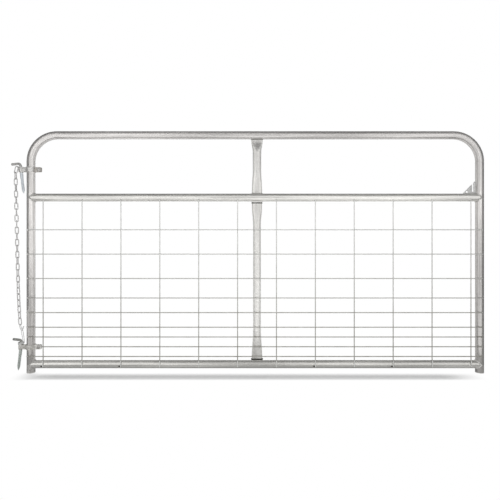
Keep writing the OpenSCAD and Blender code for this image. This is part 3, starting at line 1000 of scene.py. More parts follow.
@dataclass(frozen=True)
class GatePlan:
    """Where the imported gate's pieces lie, in metres."""

    nodes: dict[str, Piece]
    tube_r: float
    left_x: float
    right_x: float
    top_z: float
    middle_z: float
    bottom_z: float
    stay_x: float
    hinge_x: float
    hinge_z: dict[Hinge, float]
    line_y: float
    column_y: float
    lines: tuple[Span, ...]
    columns: tuple[float, ...]
    column_top: float
    column_foot: float

    @classmethod
    def read(cls, frame: dict) -> "GatePlan":
        """Takes the places from the loaded frame.


        Returns:
            The plan.
        """
        tube_low, tube_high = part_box("frame_tube")
        rail_low, rail_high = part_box("middle_rail")
        radius = (rail_high.z - rail_low.z) / 2
        rows = [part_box(n) for n in sorted(frame["nodes"]) if n.startswith("horizontal_wire_")]
        posts = [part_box(n) for n in sorted(frame["nodes"]) if n.startswith("vertical_wire_")]
        turns = {j["child"]: j["pos_m"] for j in frame["joints"]}
        wire = (rows[0][1].z - rows[0][0].z) / 2
        return cls(
            nodes=frame["nodes"],
            tube_r=radius,
            left_x=tube_low.x + radius,
            right_x=tube_high.x - radius,
            top_z=tube_high.z - radius,
            middle_z=middle("middle_rail")[2],
            bottom_z=middle("bottom_rail")[2],
            stay_x=middle("lower_stay")[0],
            hinge_x=turns["upper_hook"][0],
            hinge_z={hinge: turns[f"{hinge.value}_hook"][2] for hinge in Hinge},
            line_y=(rows[0][0].y + rows[0][1].y) / 2,
            column_y=posts[0][1].y - wire,
            lines=tuple(sorted(((low.z + high.z) / 2, low.x) for low, high in rows)),
            columns=tuple(sorted((low.x + high.x) / 2 for low, high in posts)),
            column_top=posts[0][1].z,
            column_foot=posts[0][0].z,
        )


@dataclass
class TubeFrame:
    """The bent tube, the two rails and the welds between them."""

    plan: GatePlan
    bead: Bead = Bead(2.6 * MM, WELD_ZINC, 4.2 * MM)
    bright_bead: Bead = Bead(2.7 * MM, BRIGHT_WELD, 4.2 * MM)
    bead_proud: float = 0.35
    weld_steps: int = 96
    bend_r: float = 140 * MM
    gap: float = 0.05 * MM
    sides: int = 72
    bend_steps: int = 40
    foot: float = 42 * MM

    def saddle(self, upright_x: float, rail_z: float, inward: float) -> list[Vector]:
        """Follows the line where a rail meets an upright.

        Args:
            upright_x: The upright's centre line.
            rail_z: The rail's centre line.
            inward: 1 where the rail leaves towards +X, -1 where it leaves towards -X.

        Returns:
            A closed run of points, a little proud of both tubes.
        """
        r = self.plan.tube_r
        run = []
        for rise, across in around(self.weld_steps):
            base = Vector((upright_x + inward * r * abs(rise), r * across, rail_z + r * rise))
            out = Vector((inward * abs(rise), across, 0)) + Vector((0, across, rise))
            run.append(base + out.normalized() * self.bead_proud * self.bead.radius)
        return run

    def build_frame(self) -> None:
        """Bends the frame tube: up the hinge side, across the top and down the latch side."""
        p, r = self.plan, self.bend_r
        path = [Vector((p.left_x, 0, 0)), Vector((p.left_x, 0, self.foot))]
        for x, first in ((p.left_x + r, math.pi), (p.right_x - r, math.pi / 2)):
            for k in range(self.bend_steps + 1):
                turn = first - math.pi / 2 * k / self.bend_steps
                path.append(Vector((x + r * math.cos(turn), 0, p.top_z - r + r * math.sin(turn))))
        path += [Vector((p.right_x, 0, self.foot)), Vector((p.right_x, 0, 0))]
        skin = Skin()
        skin.pipe([skin.along(path, radius, self.sides) for radius in (p.tube_r, p.tube_r - TUBE_WALL)])
        course = FrameCourse((p.left_x + p.right_x) / 2, (p.right_x - p.left_x) / 2, p.top_z, r)
        tube = place(skin.mesh("frame_tube_bent"), replace(FRAME_ZINC, course=course))
        parted(tube.data, replace(FOOT_ZINC, course=course), lambda c: c.z < self.foot and c.x < 0)
        seat(tube, GATE, "tube_zinc", "frame_tube")

    def build_rail(self, node: str, z: float) -> None:
        """Lays a rail between the uprights, with its ends coped to fit them.

        Args:
            node: The rail's node.
            z: Its height.
        """
        p = self.plan
        fit = p.tube_r + self.gap
        skin = Skin()
        shells = []
        for radius in (p.tube_r, p.tube_r - TUBE_WALL):
            ends = [
                skin.ring(
                    (x + inward * math.sqrt(fit**2 - (radius * c) ** 2), radius * c, z + radius * s)
                    for c, s in around(self.sides)
                )
                for x, inward in ((p.left_x, 1), (p.right_x, -1))
            ]
            skin.loft(ends)
            shells.append(ends)
        skin.pipe(shells)
        seat(place(skin.mesh(node + "_coped"), RAIL_ZINC), GATE, "tube_zinc", node)

    def build(self, sheet: NodeSheet) -> None:
        """Builds the tubes and lays the four welds.

        Args:
            sheet: The weld bead tree.
        """
        p = self.plan
        self.build_frame()
        self.build_rail("middle_rail", p.middle_z)
        self.build_rail("bottom_rail", p.bottom_z)
        *runs, last = [
            (self.saddle(x, z, inward), True)
            for z in (p.middle_z, p.bottom_z)
            for x, inward in ((p.left_x, 1), (p.right_x, -1))
        ]
        self.bead.lay(sheet, "rail_welds", runs, "tube_zinc")
        self.bright_bead.lay(sheet, "latch_foot_weld", [last], "tube_zinc")


@dataclass
class PressedStay:
    """A short tube between two rails, with its ends pressed flat.

    low_t, middle_t and high_t are its thicknesses from front to back at the foot, in the middle and
    at the head. The flats are the lengths that keep an end's thickness, and the tapers those over
    which it changes to the middle's.
    """

    plan: GatePlan
    node: str
    low_t: float
    high_t: float
    middle_t: float
    low_taper: float
    high_taper: float
    foot_bead: Bead
    head_bead: Bead
    toe_bead: Bead | None = None
    low_flat: float = 4 * MM
    high_flat: float = 4 * MM
    foot_rise: float = 1 * MM
    toe_drop: float = 0.0
    mottle: float = 0.0
    facet: ZincFinish | None = None
    facet_share: float = 0.95
    facet_half: float = 0.1 * MM
    bead_spread: float = 0.6
    taper_steps: int = 16
    steps: int = 24

    def thickness(self, from_low: float, from_high: float) -> float:
        """Gives the outside thickness at a place.

        Args:
            from_low: Distance from the lower end.
            from_high: Distance from the upper end.

        Returns:
            The thickness from front to back.
        """
        ends = (
            (self.low_t, (from_low - self.low_flat) / self.low_taper),
            (self.high_t, (from_high - self.high_flat) / self.high_taper),
        )
        shares = [(thick, min(max(share, 0), 1)) for thick, share in ends]
        return min(thick + (self.middle_t - thick) * share**2 * (3 - 2 * share) for thick, share in shares)

    def outline(self, thick: float, inset: float, z: float, arc: int = 12) -> list[Vector]:
        """Draws the pressed tube's section: two half rounds and two flats, with the round tube's girth.

        Args:
            thick: Its outside thickness.
            inset: How far inside the outer face it is drawn.
            z: Its height.
            arc: Steps of each half round.

        Returns:
            The section's points.
        """
        half = thick / 2
        run = math.pi * (self.plan.tube_r - half) / 2
        r = half - inset
        points = []
        for side in (1, -1):
            for k in range(arc + 1):
                turn = math.pi * (k / arc - 0.5)
                x = self.plan.stay_x + side * (run + r * math.cos(turn))
                points.append(Vector((x, side * r * math.sin(turn), z)))
        return points

    def build(self, sheet: NodeSheet) -> None:
        """Builds the stay, its two end welds and, where it has one, a black line below the head that paints
        the contact shadow under the rail.

        Args:
            sheet: The weld bead tree.
        """
        low, high = (v.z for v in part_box(self.node))
        length = high - low
        marks = {0.0, self.low_flat, length - self.high_flat, length}
        for k in range(1, self.taper_steps + 1):
            marks.add(self.low_flat + self.low_taper * k / self.taper_steps)
            marks.add(length - self.high_flat - self.high_taper * k / self.taper_steps)
        marks |= {length * k / self.steps for k in range(1, self.steps)}
        skin = Skin()
        shells = [
            [skin.ring(self.outline(self.thickness(m, length - m), inset, low + m)) for m in sorted(marks)]
            for inset in (0.0, TUBE_WALL)
        ]
        for shell in shells:
            skin.loft(shell)
        skin.pipe(shells)
        stay = place(skin.mesh(self.node + "_pressed", crease=50.0), STAY_ZINC)
        # The flats of the pressed head take the darker finish, which paints shade on them.
        if self.facet:
            edge = high - self.high_flat - self.facet_share * self.high_taper
            x, half = self.plan.stay_x, self.facet_half
            parted(stay.data, self.facet, lambda c: abs(c.x - x) < half and c.z > edge)
        if self.mottle:
            parted(stay.data, MOTTLED_ZINC, lambda c: c.z < low + self.mottle)
        seat(stay, GATE, "tube_zinc", self.node)
        welds = [
            ("foot", low + self.foot_rise, self.low_t, self.foot_bead),
            ("head", high - self.head_bead.radius / 2, self.high_t, self.head_bead),
        ]
        if self.toe_bead:
            welds.append(("toe", high - self.toe_drop, self.high_t, self.toe_bead))
        for end, z, thick, bead in welds:
            run = self.outline(thick + self.bead_spread * bead.radius, 0.0, z)
            bead.lay(sheet, f"{self.node}_{end}_weld", [(run, True)], "tube_zinc")


@dataclass
class WireInfill:
    """The welded wires and the spots that hold them."""

    plan: GatePlan
    end_spot: Spot = Spot(4.6 * MM, 3, WELD_ZINC)
    tip_spot: Spot = Spot(4.4 * MM, 4, BRIGHT_WELD)
    foot_spot: Spot = Spot(3.0 * MM, 5, WELD_ZINC)
    cross_spot: Spot = Spot(2.5 * MM, 11, WIRE_ZINC)
    toe_bead: Bead = Bead(3.6 * MM, BURN_AND_SHADOW_WELD, 3.2 * MM, 0.6)
    burnt_and_shaded_toes: tuple[int, ...] = (0, 2, 7, 9)
    toe_marks: tuple[float, ...] = (-12 * MM, -9 * MM, -6 * MM, -3 * MM, 0.0)
    foot_marks: Span = (3 * MM, 9 * MM)
    end_out: float = 0.9 * MM
    top_in: float = 1.2 * MM
    top_drop: float = 1.5 * MM
    tip_off: float = 7 * MM
    tip_out: float = 0.6 * MM
    foot_in: float = 0.5 * MM
    toe_in: float = 0.6 * MM

    def build(self, sheet: NodeSheet, beads: NodeSheet) -> None:
        """Sets the spot welds on the tubes and where the wires cross.

        Args:
            sheet: The spot weld tree.
            beads: The weld bead tree, for the burnt marks at the wires' feet.
        """
        p = self.plan
        front = -p.tube_r
        whole = [z for z, start in p.lines if start < p.left_x]
        ends = [Vector((p.right_x, front - self.end_out, z)) for z, _ in p.lines]
        ends += [Vector((p.left_x, front - self.end_out, z)) for z in whole]
        ends += [Vector((x, p.column_y + self.top_in, p.column_top - self.top_drop)) for x in p.columns]
        self.end_spot.set(sheet, "wire_end_welds", ends)
        tips = [Vector((p.left_x - self.tip_off, p.line_y - self.tip_out, z)) for z in whole]
        self.tip_spot.set(sheet, "wire_tip_welds", tips)
        heights = [p.column_foot + rise for rise in self.foot_marks]
        feet = [Vector((x, front + self.foot_in, z)) for x in p.columns for z in heights]
        self.foot_spot.set(sheet, "wire_foot_welds", feet)
        # Black marks beside some wires' feet: burnt weld and painted shadow in the gap at the foot.
        toe_y = self.toe_in - math.sqrt(p.tube_r**2 - (p.bottom_z - heights[0]) ** 2)
        toes = [
            ([Vector((p.columns[i] + off, toe_y, heights[0])) for off in self.toe_marks], False)
            for i in self.burnt_and_shaded_toes
        ]
        self.toe_bead.lay(beads, "wire_toe_welds", toes, "wire_zinc")
        between = (p.line_y + p.column_y) / 2
        crossings = [Vector((x, between, z)) for z, _ in p.lines for x in p.columns]
        self.cross_spot.set(sheet, "wire_cross_welds", crossings)

    def dress(self) -> None:
        """Gives the wires their zinc."""
        for name, node in self.plan.nodes.items():
            if "_wire_" in name:
                dress(node, WIRE_ZINC)


@dataclass
class LatchKeeper:
    """The slotted plate in the corner of the middle rail and the latch-side upright."""

    plan: GatePlan
    bead: Bead = Bead(1.7 * MM, WELD_ZINC, 3.2 * MM)
    edge: float = 0.5 * MM
    clip: float = 9 * MM
    step: float = 4 * MM
    steps: int = 13
    bead_out: float = 0.6 * MM
    side_in: float = 0.5 * MM
    foot_in: float = 0.3 * MM

    def build(self, sheet: NodeSheet) -> None:
        """Softens the plate's edges and lays its welds.

        Args:
            sheet: The weld bead tree.
        """
        plate = softened(self.plan.nodes["latch_keeper"], self.edge, "latch_keeper_plate")
        seat(place(plate, KEEPER_ZINC), GATE, "keeper_zinc", "latch_keeper")
        low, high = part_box("latch_keeper")
        marks = [self.clip + k * self.step for k in range(self.steps)]
        runs = []
        for y in (low.y - self.bead_out, high.y + self.bead_out):
            runs.append(([Vector((high.x - self.side_in, y, low.z + m)) for m in marks], False))
            runs.append(([Vector((high.x - m, y, low.z + self.foot_in)) for m in marks], False))
        self.bead.lay(sheet, "keeper_welds", runs, "keeper_zinc")


@dataclass
class HingeSet:
    """A bent strap with its bolt, washer and nut."""

    plan: GatePlan
    hinge: Hinge
    strap: ZincFinish
    ear: ZincFinish
    strap_edge: float = 0.5 * MM
    washer_edge: float = 0.25 * MM
    nut_hole: float = 4.85 * MM
    nut_land: float = 0.96
    nut_sides: int = 72
    nut_chamfer: float = 30.0
    head_rise: float = 5 * MM
    head_steps: int = 12
    head_pole: float = 0.15 * MM
    head_edge: float = 0.3 * MM
    shank_r: float = 4.75 * MM
    thread_depth: float = 0.75 * MM
    thread_lead: float = 3 * MM
    thread_runout: float = 0.8 * MM
    thread_pitch: float = 1.6 * MM
    thread_rest: float = 1.6 * MM
    ridge_start: float = 0.4 * MM
    ridge_height: float = 0.72 * MM
    ridge_half: float = 0.68 * MM
    tip_length: float = 0.9 * MM
    tip_depth: float = 0.8 * MM

    def node(self, piece: str) -> str:
        """Names one of the hinge's nodes."""
        return f"{self.hinge.value}_hinge_{piece}"

    def steel(self, piece: str) -> str:
        """Names the piece that stands for a node."""
        return self.node(piece) + "_steel"

    def along_bolt(self, mesh: Mesh, y: float) -> Mesh:
        """Lays a mesh that stands up Z along the bolt.

        Args:
            mesh: The mesh, which is moved.
            y: Where its foot goes.

        Returns:
            The same mesh.
        """
        x, _, z = middle(self.node("washer"))
        mesh.transform(Matrix.Translation((x, y, z)) @ Matrix.Rotation(-math.pi / 2, 4, "X"))
        return mesh

    def build(self, sheet: NodeSheet) -> None:
        """Builds the strap, washer, nut and bolt.

        Args:
            sheet: The screw thread tree.
        """
        ear_x = self.plan.left_x + self.plan.tube_r
        node = self.node("strap")
        strap = place(softened(self.plan.nodes[node], self.strap_edge, self.steel("strap")), self.strap)
        # The ear past the upright takes its hinge's ear tone, painted light and shade.
        parted(strap.data, self.ear, lambda c: c.x > ear_x)
        seat(strap, GATE, "hinge_zinc", node)
        node = self.node("washer")
        washer = softened(self.plan.nodes[node], self.washer_edge, self.steel("washer"))
        seat(place(washer, BOLT_ZINC), GATE, "hinge_zinc", node)
        self.build_nut()
        self.build_bolt(sheet)

    def build_nut(self) -> None:
        """Builds the hexagon nut with its turned corners."""
        low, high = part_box(self.node("nut"))
        tall, flat = high.y - low.y, min(high.x - low.x, high.z - low.z) / 2
        hole, land = self.nut_hole, self.nut_land * flat
        slope = math.tan(math.radians(self.nut_chamfer))
        rings: list[list[Point]] = [[] for _ in range(6)]
        for k, (c, s) in enumerate(around(self.nut_sides)):
            turn = math.tau * k / self.nut_sides
            reach = flat / math.cos((turn + math.pi / 6) % (math.pi / 3) - math.pi / 6)
            drop = max(reach - land, 0) * slope
            foot = [(hole, 0), (land, 0), (reach, drop)]
            head = [(reach, tall - drop), (land, tall), (hole, tall)]
            for ring, (r, z) in zip(rings, foot + head):
                ring.append((r * c, r * s, z))
        skin = Skin()
        numbers = [skin.ring(ring) for ring in rings]
        skin.loft(numbers + numbers[:1])
        nut = self.along_bolt(skin.mesh(self.steel("nut"), crease=25.0), low.y)
        seat(place(nut, BOLT_ZINC), GATE, "hinge_zinc", self.node("nut"))

    def build_bolt(self, sheet: NodeSheet) -> None:
        """Builds the round-headed bolt with its thread at the nut's end.

        Args:
            sheet: The screw thread tree.
        """
        low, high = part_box(self.node("bolt"))
        nut_low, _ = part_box(self.node("nut"))
        tall, head, rise = high.y - low.y, (high.x - low.x) / 2, self.head_rise
        shank, core = self.shank_r, self.shank_r - self.thread_depth
        start = nut_low.y - low.y - self.thread_lead
        dome = (head**2 + rise**2) / (2 * rise)
        profile = [(self.head_pole, 0.0)]
        for k in range(1, self.head_steps + 1):
            turn = math.asin(head / dome) * k / self.head_steps
            profile.append((dome * math.sin(turn), dome * (1 - math.cos(turn))))
        profile += [
            (head - self.head_edge, rise), (shank, rise), (shank, start), (core, start + self.thread_runout),
            (core, tall - self.tip_length), (core - self.tip_depth, tall),
        ]
        skin = Skin()
        skin.lathe(profile)
        name = self.steel("bolt")
        shaft = skin.mesh(name + "_shaft", crease=30.0)
        shaft.materials.append(BOLT_ZINC.material())
        run = tall - start - self.thread_rest
        sizes = {
            "Root Radius": core, "Ridge Height": self.ridge_height, "Ridge Half Width": self.ridge_half,
            "Turns": run / self.thread_pitch, "Length": run, "Point Turns": 0.25, "Point Length": 0.3 * MM,
        }
        ridge = sheet.grow(name + "_thread", point_mesh("bolt_thread_base", []), sizes, BOLT_ZINC)
        ridge.transform(Matrix.Translation((0, 0, start + self.ridge_start)))
        bolt = self.along_bolt(joined(name, [shaft, ridge]), low.y)
        seat(place(bolt), GATE, "hinge_zinc", self.node("bolt"))


@dataclass
class ScrewHook:
    """A hinge hook: a pin, a bend, a plain shank and a lag thread with its point.

    pin_end gives distances from the pin's end and how much thinner the rod is there. tip gives
    shares along the point and of the thread's root radius. The marks and steps place the sections
    of the shank above and below the two ends of its blank.
    """

    plan: GatePlan
    hinge: Hinge
    finish: ZincFinish
    lag_finish: ZincFinish
    lean: float
    lift: float
    rod_r: float = 6.35 * MM
    blank_r: float = 7.6 * MM
    leg: float = 160 * MM
    pin: float = 46 * MM
    bend: float = 13 * MM
    bend_steps: int = 16
    blank: float = 30 * MM
    thread: float = 60 * MM
    point: float = 20 * MM
    root_r: float = 5.7 * MM
    turns: int = 14
    rod_mark: float = 20 * MM
    rod_step: float = 1.2 * MM
    blank_marks: Span = (15 * MM, 2 * MM)
    root_drop: float = 1 * MM
    root_marks: tuple[int, ...] = (2, 4, 6)
    ridge_sunk: float = 0.1 * MM
    ridge_half: float = 0.36
    ridge_tip: float = 0.92
    tip_turns: float = 4.0
    lag_over: float = 1 * MM
    sides: int = 32
    pin_end: tuple[Span, ...] = (
        (0.0, 1.0 * MM), (0.5 * MM, 0.35 * MM), (1.6 * MM, 0.0), (4 * MM, 0.0), (12 * MM, 0.0),
        (20 * MM, 0.0), (28 * MM, 0.0),
    )
    tip: tuple[Span, ...] = ((0.1, 1.0), (0.35, 0.86), (0.6, 0.62), (0.8, 0.36), (0.93, 0.17), (1.0, 0.06))

    def build(self, sheet: NodeSheet) -> None:
        """Builds the hook where its node hangs.

        Args:
            sheet: The screw thread tree.
        """
        rod_r, blank_r, root_r = self.rod_r, self.blank_r, self.root_r
        thread_z = self.lift - self.leg + self.point + self.thread
        plain_z, end_z = thread_z + self.blank, thread_z - self.thread
        rows = [(off - self.pin, self.lift, rod_r - thin) for off, thin in self.pin_end]
        for k in range(self.bend_steps + 1):
            turn = math.pi / 2 * (1 - k / self.bend_steps)
            x, z = self.bend * math.cos(turn) - self.bend, self.bend * math.sin(turn) - self.bend
            rows.append((x, self.lift + z, rod_r))
        rows += [(0, plain_z + self.rod_mark, rod_r), (0, plain_z + self.rod_step, rod_r)]
        rows += [(0, plain_z, blank_r), *((0, thread_z + mark, blank_r) for mark in self.blank_marks)]
        rows.append((0, thread_z - self.root_drop, root_r))
        last = self.root_marks[-1]
        rows += [(0, thread_z - self.thread * mark / last, root_r) for mark in self.root_marks]
        rows += [(0, end_z - self.point * along, root_r * share) for along, share in self.tip]
        skin = Skin()
        skin.sweep([Vector((x, 0, z)) for x, z, _ in rows], [r for _, _, r in rows], self.sides)
        name = f"{self.hinge.value}_hook_rod"
        rod = skin.mesh(name + "_bar", crease=28.0)
        rod.materials.append(self.finish.material())
        pitch = self.thread / self.turns
        sizes = {
            "Root Radius": root_r - self.ridge_sunk, "Ridge Height": blank_r - root_r + self.ridge_sunk,
            "Ridge Half Width": self.ridge_half * pitch, "Turns": float(self.turns), "Length": self.thread,
            "Point Turns": self.tip_turns, "Point Length": self.point * self.ridge_tip,
        }
        ridge = sheet.grow(name + "_thread", point_mesh("hook_thread_base", []), sizes, self.lag_finish)
        ridge.transform(Matrix.Translation((0, 0, thread_z)) @ Matrix.Rotation(math.pi, 4, "X"))
        whole = joined(name, [rod, ridge])
        parted(whole, self.lag_finish, lambda c: c.z < plain_z + self.lag_over)
        hang = Matrix.Translation((self.plan.hinge_x, 0, self.plan.hinge_z[self.hinge]))
        whole.transform(hang @ Matrix.Rotation(math.radians(self.lean), 4, "Y"))
        node = f"{self.hinge.value}_hook"
        seat(place(whole), node, "hook_zinc", node)


@dataclass
class LatchChain:
    """The straight-link chain that hangs between the two hooks, with its two wire ties.

    The first link swings out, and the others lean back: lean_share of the way evenly, and the rest
    in a curve towards the last link, which hook_power and hook_run shape.
    """

    plan: GatePlan
    links: int = 26
    wire_r: float = 2.4 * MM
    pitch: float = 32 * MM
    width: float = 19 * MM
    play: float = 0.25 * MM
    first_swing: float = 12.0
    end_off: float = 4 * MM
    lean_share: float = 0.7
    hook_run: float = 0.163
    hook_power: int = 6
    twist: float = 90.0
    tie_r: float = 1.0 * MM
    tie_skin: float = 1.5 * MM
    tie_rings: int = 3
    tie_ring: float = 12.5 * MM
    tie_reach: float = 22 * MM
    tie_room: float = 0.6 * MM
    tie_steps: int = 40
    tie_sides: int = 12
    twist_spread: float = 1.04
    ring_pitch: float = 2.1
    strap_half: float = 12.7 * MM
    pin_top: float = 41.35 * MM
    pin_room: float = 8 * MM
    tail_half: float = 1.2

    def tie_z(self, hinge: Hinge) -> float:
        """Gives the height of a tie's ring, just above its strap's eye."""
        return self.plan.hinge_z[hinge] + self.strap_half + self.tie_room + self.tie_r

    def route(self) -> tuple[list[Vector], list[float]]:
        """Works out how the chain hangs.

        Returns:
            Its joints, from its first to past its last link, and each link's lean in degrees.
        """
        start_z = self.tie_z(Hinge.UPPER) + self.tie_r + self.play
        here = Vector((self.plan.hinge_x - self.tie_reach, 0, start_z))
        last = self.links - 1
        run = self.tie_reach + self.pitch * math.sin(math.radians(self.first_swing)) - self.end_off
        lean = math.degrees(math.asin(self.lean_share * run / (last * self.pitch)))
        hook_length = self.hook_run * self.links * self.pitch
        hook = math.degrees(math.asin((1 - self.lean_share) * run / hook_length))
        leans = [self.first_swing]
        leans += [-lean - hook * (i / last) ** self.hook_power for i in range(1, self.links)]
        joints = [here]
        for a in leans:
            here = here + self.pitch * Vector((-math.sin(math.radians(a)), 0, -math.cos(math.radians(a))))
            joints.append(here)
        return joints, leans

    def build(self, sheet: NodeSheet) -> None:
        """Hangs the links and winds the ties.

        Args:
            sheet: The chain link tree.
        """
        joints, leans = self.route()
        base = point_mesh("chain_points", [(a + b) / 2 for a, b in zip(joints, joints[1:])])
        held = base.attributes.new("turn", "FLOAT_VECTOR", "POINT")
        for i, lean in enumerate(leans):
            roll = (i % 2) * 90 + self.twist * i / (self.links - 1)
            swing = Matrix.Rotation(math.radians(lean), 3, "Y")
            turn = swing @ Matrix.Rotation(math.radians(roll), 3, "Z")
            held.data[i].vector = turn.to_euler("XYZ")
        sizes = {
            "Wire Radius": self.wire_r, "Link Width": self.width - 2 * self.wire_r,
            "Link Length": self.pitch + self.play + 2 * self.wire_r,
        }
        chain = place(sheet.grow("chain_links", base, sizes, CHAIN_ZINC))
        seat(chain, "chain", "chain_zinc", "latch_chain")
        self.build_tie("upper_tie", self.upper_loop(), turns=2.5, skin_r=self.tie_r)
        loop = self.lower_loop(joints, leans)
        self.build_tie("lower_tie", loop, turns=5.0, skin_r=self.tie_skin, rings=self.tie_rings)

    def build_tie(
        self, node: str, loop: Sequence[Vector], turns: float, skin_r: float, rings: int = 0
    ) -> None:
        """Winds one tie: a smooth loop whose two ends are twisted together.

        Args:
            node: The tie's node.
            loop: The loop's points, with the tail's tip first and last.
            turns: Turns of the twist along the tail.
            skin_r: Radius of the wire as it is seen.
            rings: Further turns of wire round the lower hook's neck.
        """
        start, tip = (loop[1] + loop[-2]) / 2, (loop[0] + loop[-1]) / 2
        axis = tip - start
        ahead = axis.normalized()
        across = (loop[1] - loop[-2]).normalized()
        across = (across - across.dot(ahead) * ahead).normalized()
        other = ahead.cross(across)
        tails = []
        for phase in (0.0, math.pi):
            tail = []
            for k in range(1, self.tie_steps + 1):
                turn = phase + math.tau * turns * k / self.tie_steps
                off = self.twist_spread * skin_r * (math.cos(turn) * across + math.sin(turn) * other)
                tail.append(start + axis * (k / self.tie_steps) + off)
            tails.append(tail)
        skin = Skin()
        path = tails[0][::-1] + eased(loop[1:-1], steps=8) + tails[1]
        skin.sweep(path, skin_r, self.tie_sides)
        for k in range(1, rings + 1):
            z = self.tie_z(Hinge.LOWER) + k * self.ring_pitch * skin_r
            centre = Vector((self.plan.hinge_x, 0, z))
            ring = [centre + self.tie_ring * Vector((c, s, 0)) for c, s in around(self.tie_steps)]
            skin.sweep(ring, skin_r, self.tie_sides, closed=True)
        seat(place(skin.mesh(node + "_wire", crease=60.0), TIE_WIRE), "chain", "tie_wire", node)

    def upper_loop(self) -> list[Vector]:
        """Draws the loop round the upper hook's neck that the first link hangs from.

        Returns:
            The loop's points, which are worked out in millimetres from the middle of the neck.
        """
        near, far, side = self.tie_ring / MM, self.tie_reach / MM, self.tail_half
        points = [
            (8 + side, near + 11, side), (4 + side, near + 4, side / 2),
            (near * 0.62, near * 0.78, 0), (near, 0, 0), (near * 0.62, -near * 0.78, 0),
            (-near * 0.2, -near, 0), (-near * 0.8, -near * 0.72, 0), (-far + 4, -4.8, 0), (-far + 1, -2.6, 0),
            (-far, 0, 0), (-far + 1, 2.6, 0), (-far + 4, 4.8, 0), (-near * 0.8, near * 0.72, 0),
            (-near * 0.2, near, 0), (4 - side, near + 4, side / 2), (8 - side, near + 11, side),
        ]
        base = Vector((self.plan.hinge_x, 0, self.tie_z(Hinge.UPPER)))
        return [base + Vector(p) * MM for p in points]

    def lower_loop(self, joints: Sequence[Vector], leans: Sequence[float]) -> list[Vector]:
        """Draws the loop from the last link down round the lower hook's neck.

        Args:
            joints: The chain's joints.
            leans: Each link's lean in degrees.

        Returns:
            The loop's points, which are worked out in millimetres from the middle of the neck.
        """
        base = Vector((self.plan.hinge_x, 0, self.tie_z(Hinge.LOWER)))
        a = math.radians(leans[-1])
        inside = self.tie_r + 2 * self.play
        end = (joints[-1] + inside * Vector((math.sin(a), 0, math.cos(a))) - base) / MM
        near, side = self.tie_ring / MM, self.tail_half
        over = (self.pin_top + self.pin_room - self.strap_half) / MM
        mid = (end.z + over) / 2
        points = [
            (18, -8, mid + 24 + side), (11, -7.5, mid + 9 + side), (4.5, -6.6, mid + 3 + side),
            (end.x + 1, -5, end.z - 14), (end.x, -4, end.z - 4), (end.x, -2.4, end.z - 0.9), tuple(end),
            (end.x, 2.4, end.z - 0.9), (end.x, 4, end.z - 4), (end.x + 1, 5, end.z - 14),
            (5, 6.6, mid), (near * 0.9, 6.6, over), (near + 1.5, 6, over * 0.5), (near, 7, 6),
            (near * 0.5, near * 0.9, 1), (-near * 0.3, near, 0), (-near * 0.85, near * 0.55, 0),
            (-near, 0, 0), (-near * 0.85, -near * 0.55, 0), (-near * 0.3, -near, 0),
            (near * 0.5, -near * 0.9, 1), (near, -7, 6), (near + 1.5, -6, over * 0.5),
            (near * 0.9, -6.6, over), (6, -6.6, mid - 6), (7, -6.9, mid + 1 - side),
            (12.5, -7.5, mid + 8 - side), (19.5, -8, mid + 23 - side),
        ]
        return [base + Vector(p) * MM for p in points]


@dataclass(frozen=True)
class Lamp:
    """A wide soft lamp, which shows neither to the camera nor in reflections."""

    name: str
    power: float
    spot: Point
    aim: Point
    size: Span

    def hang(self) -> None:
        """Hangs the lamp at its spot, turned to its aim."""
        data = bpy.data.lights.new(self.name, "AREA")
        data.shape, data.size, data.size_y, data.energy = "RECTANGLE", *self.size, self.power
        lamp = bpy.data.objects.new(self.name, data)
        lamp.location = self.spot
        lamp.rotation_euler = (Vector(self.aim) - Vector(self.spot)).to_track_quat("-Z", "Y").to_euler()
        lamp.visible_camera = lamp.visible_glossy = False
        bpy.context.scene.collection.objects.link(lamp)


def laid(half: float, near: float, far: float, z: float) -> list[Point]:
    """Gives the corners of a level sheet, as wide to both sides."""
    return [(-half, near, z), (half, near, z), (half, far, z), (-half, far, z)]


def hung(half: float, y: float, foot: float, head: float) -> list[Point]:
    """Gives the corners of an upright sheet before the gate, as wide to both sides."""
    return [(-half, y, foot), (half, y, foot), (half, y, head), (-half, y, head)]


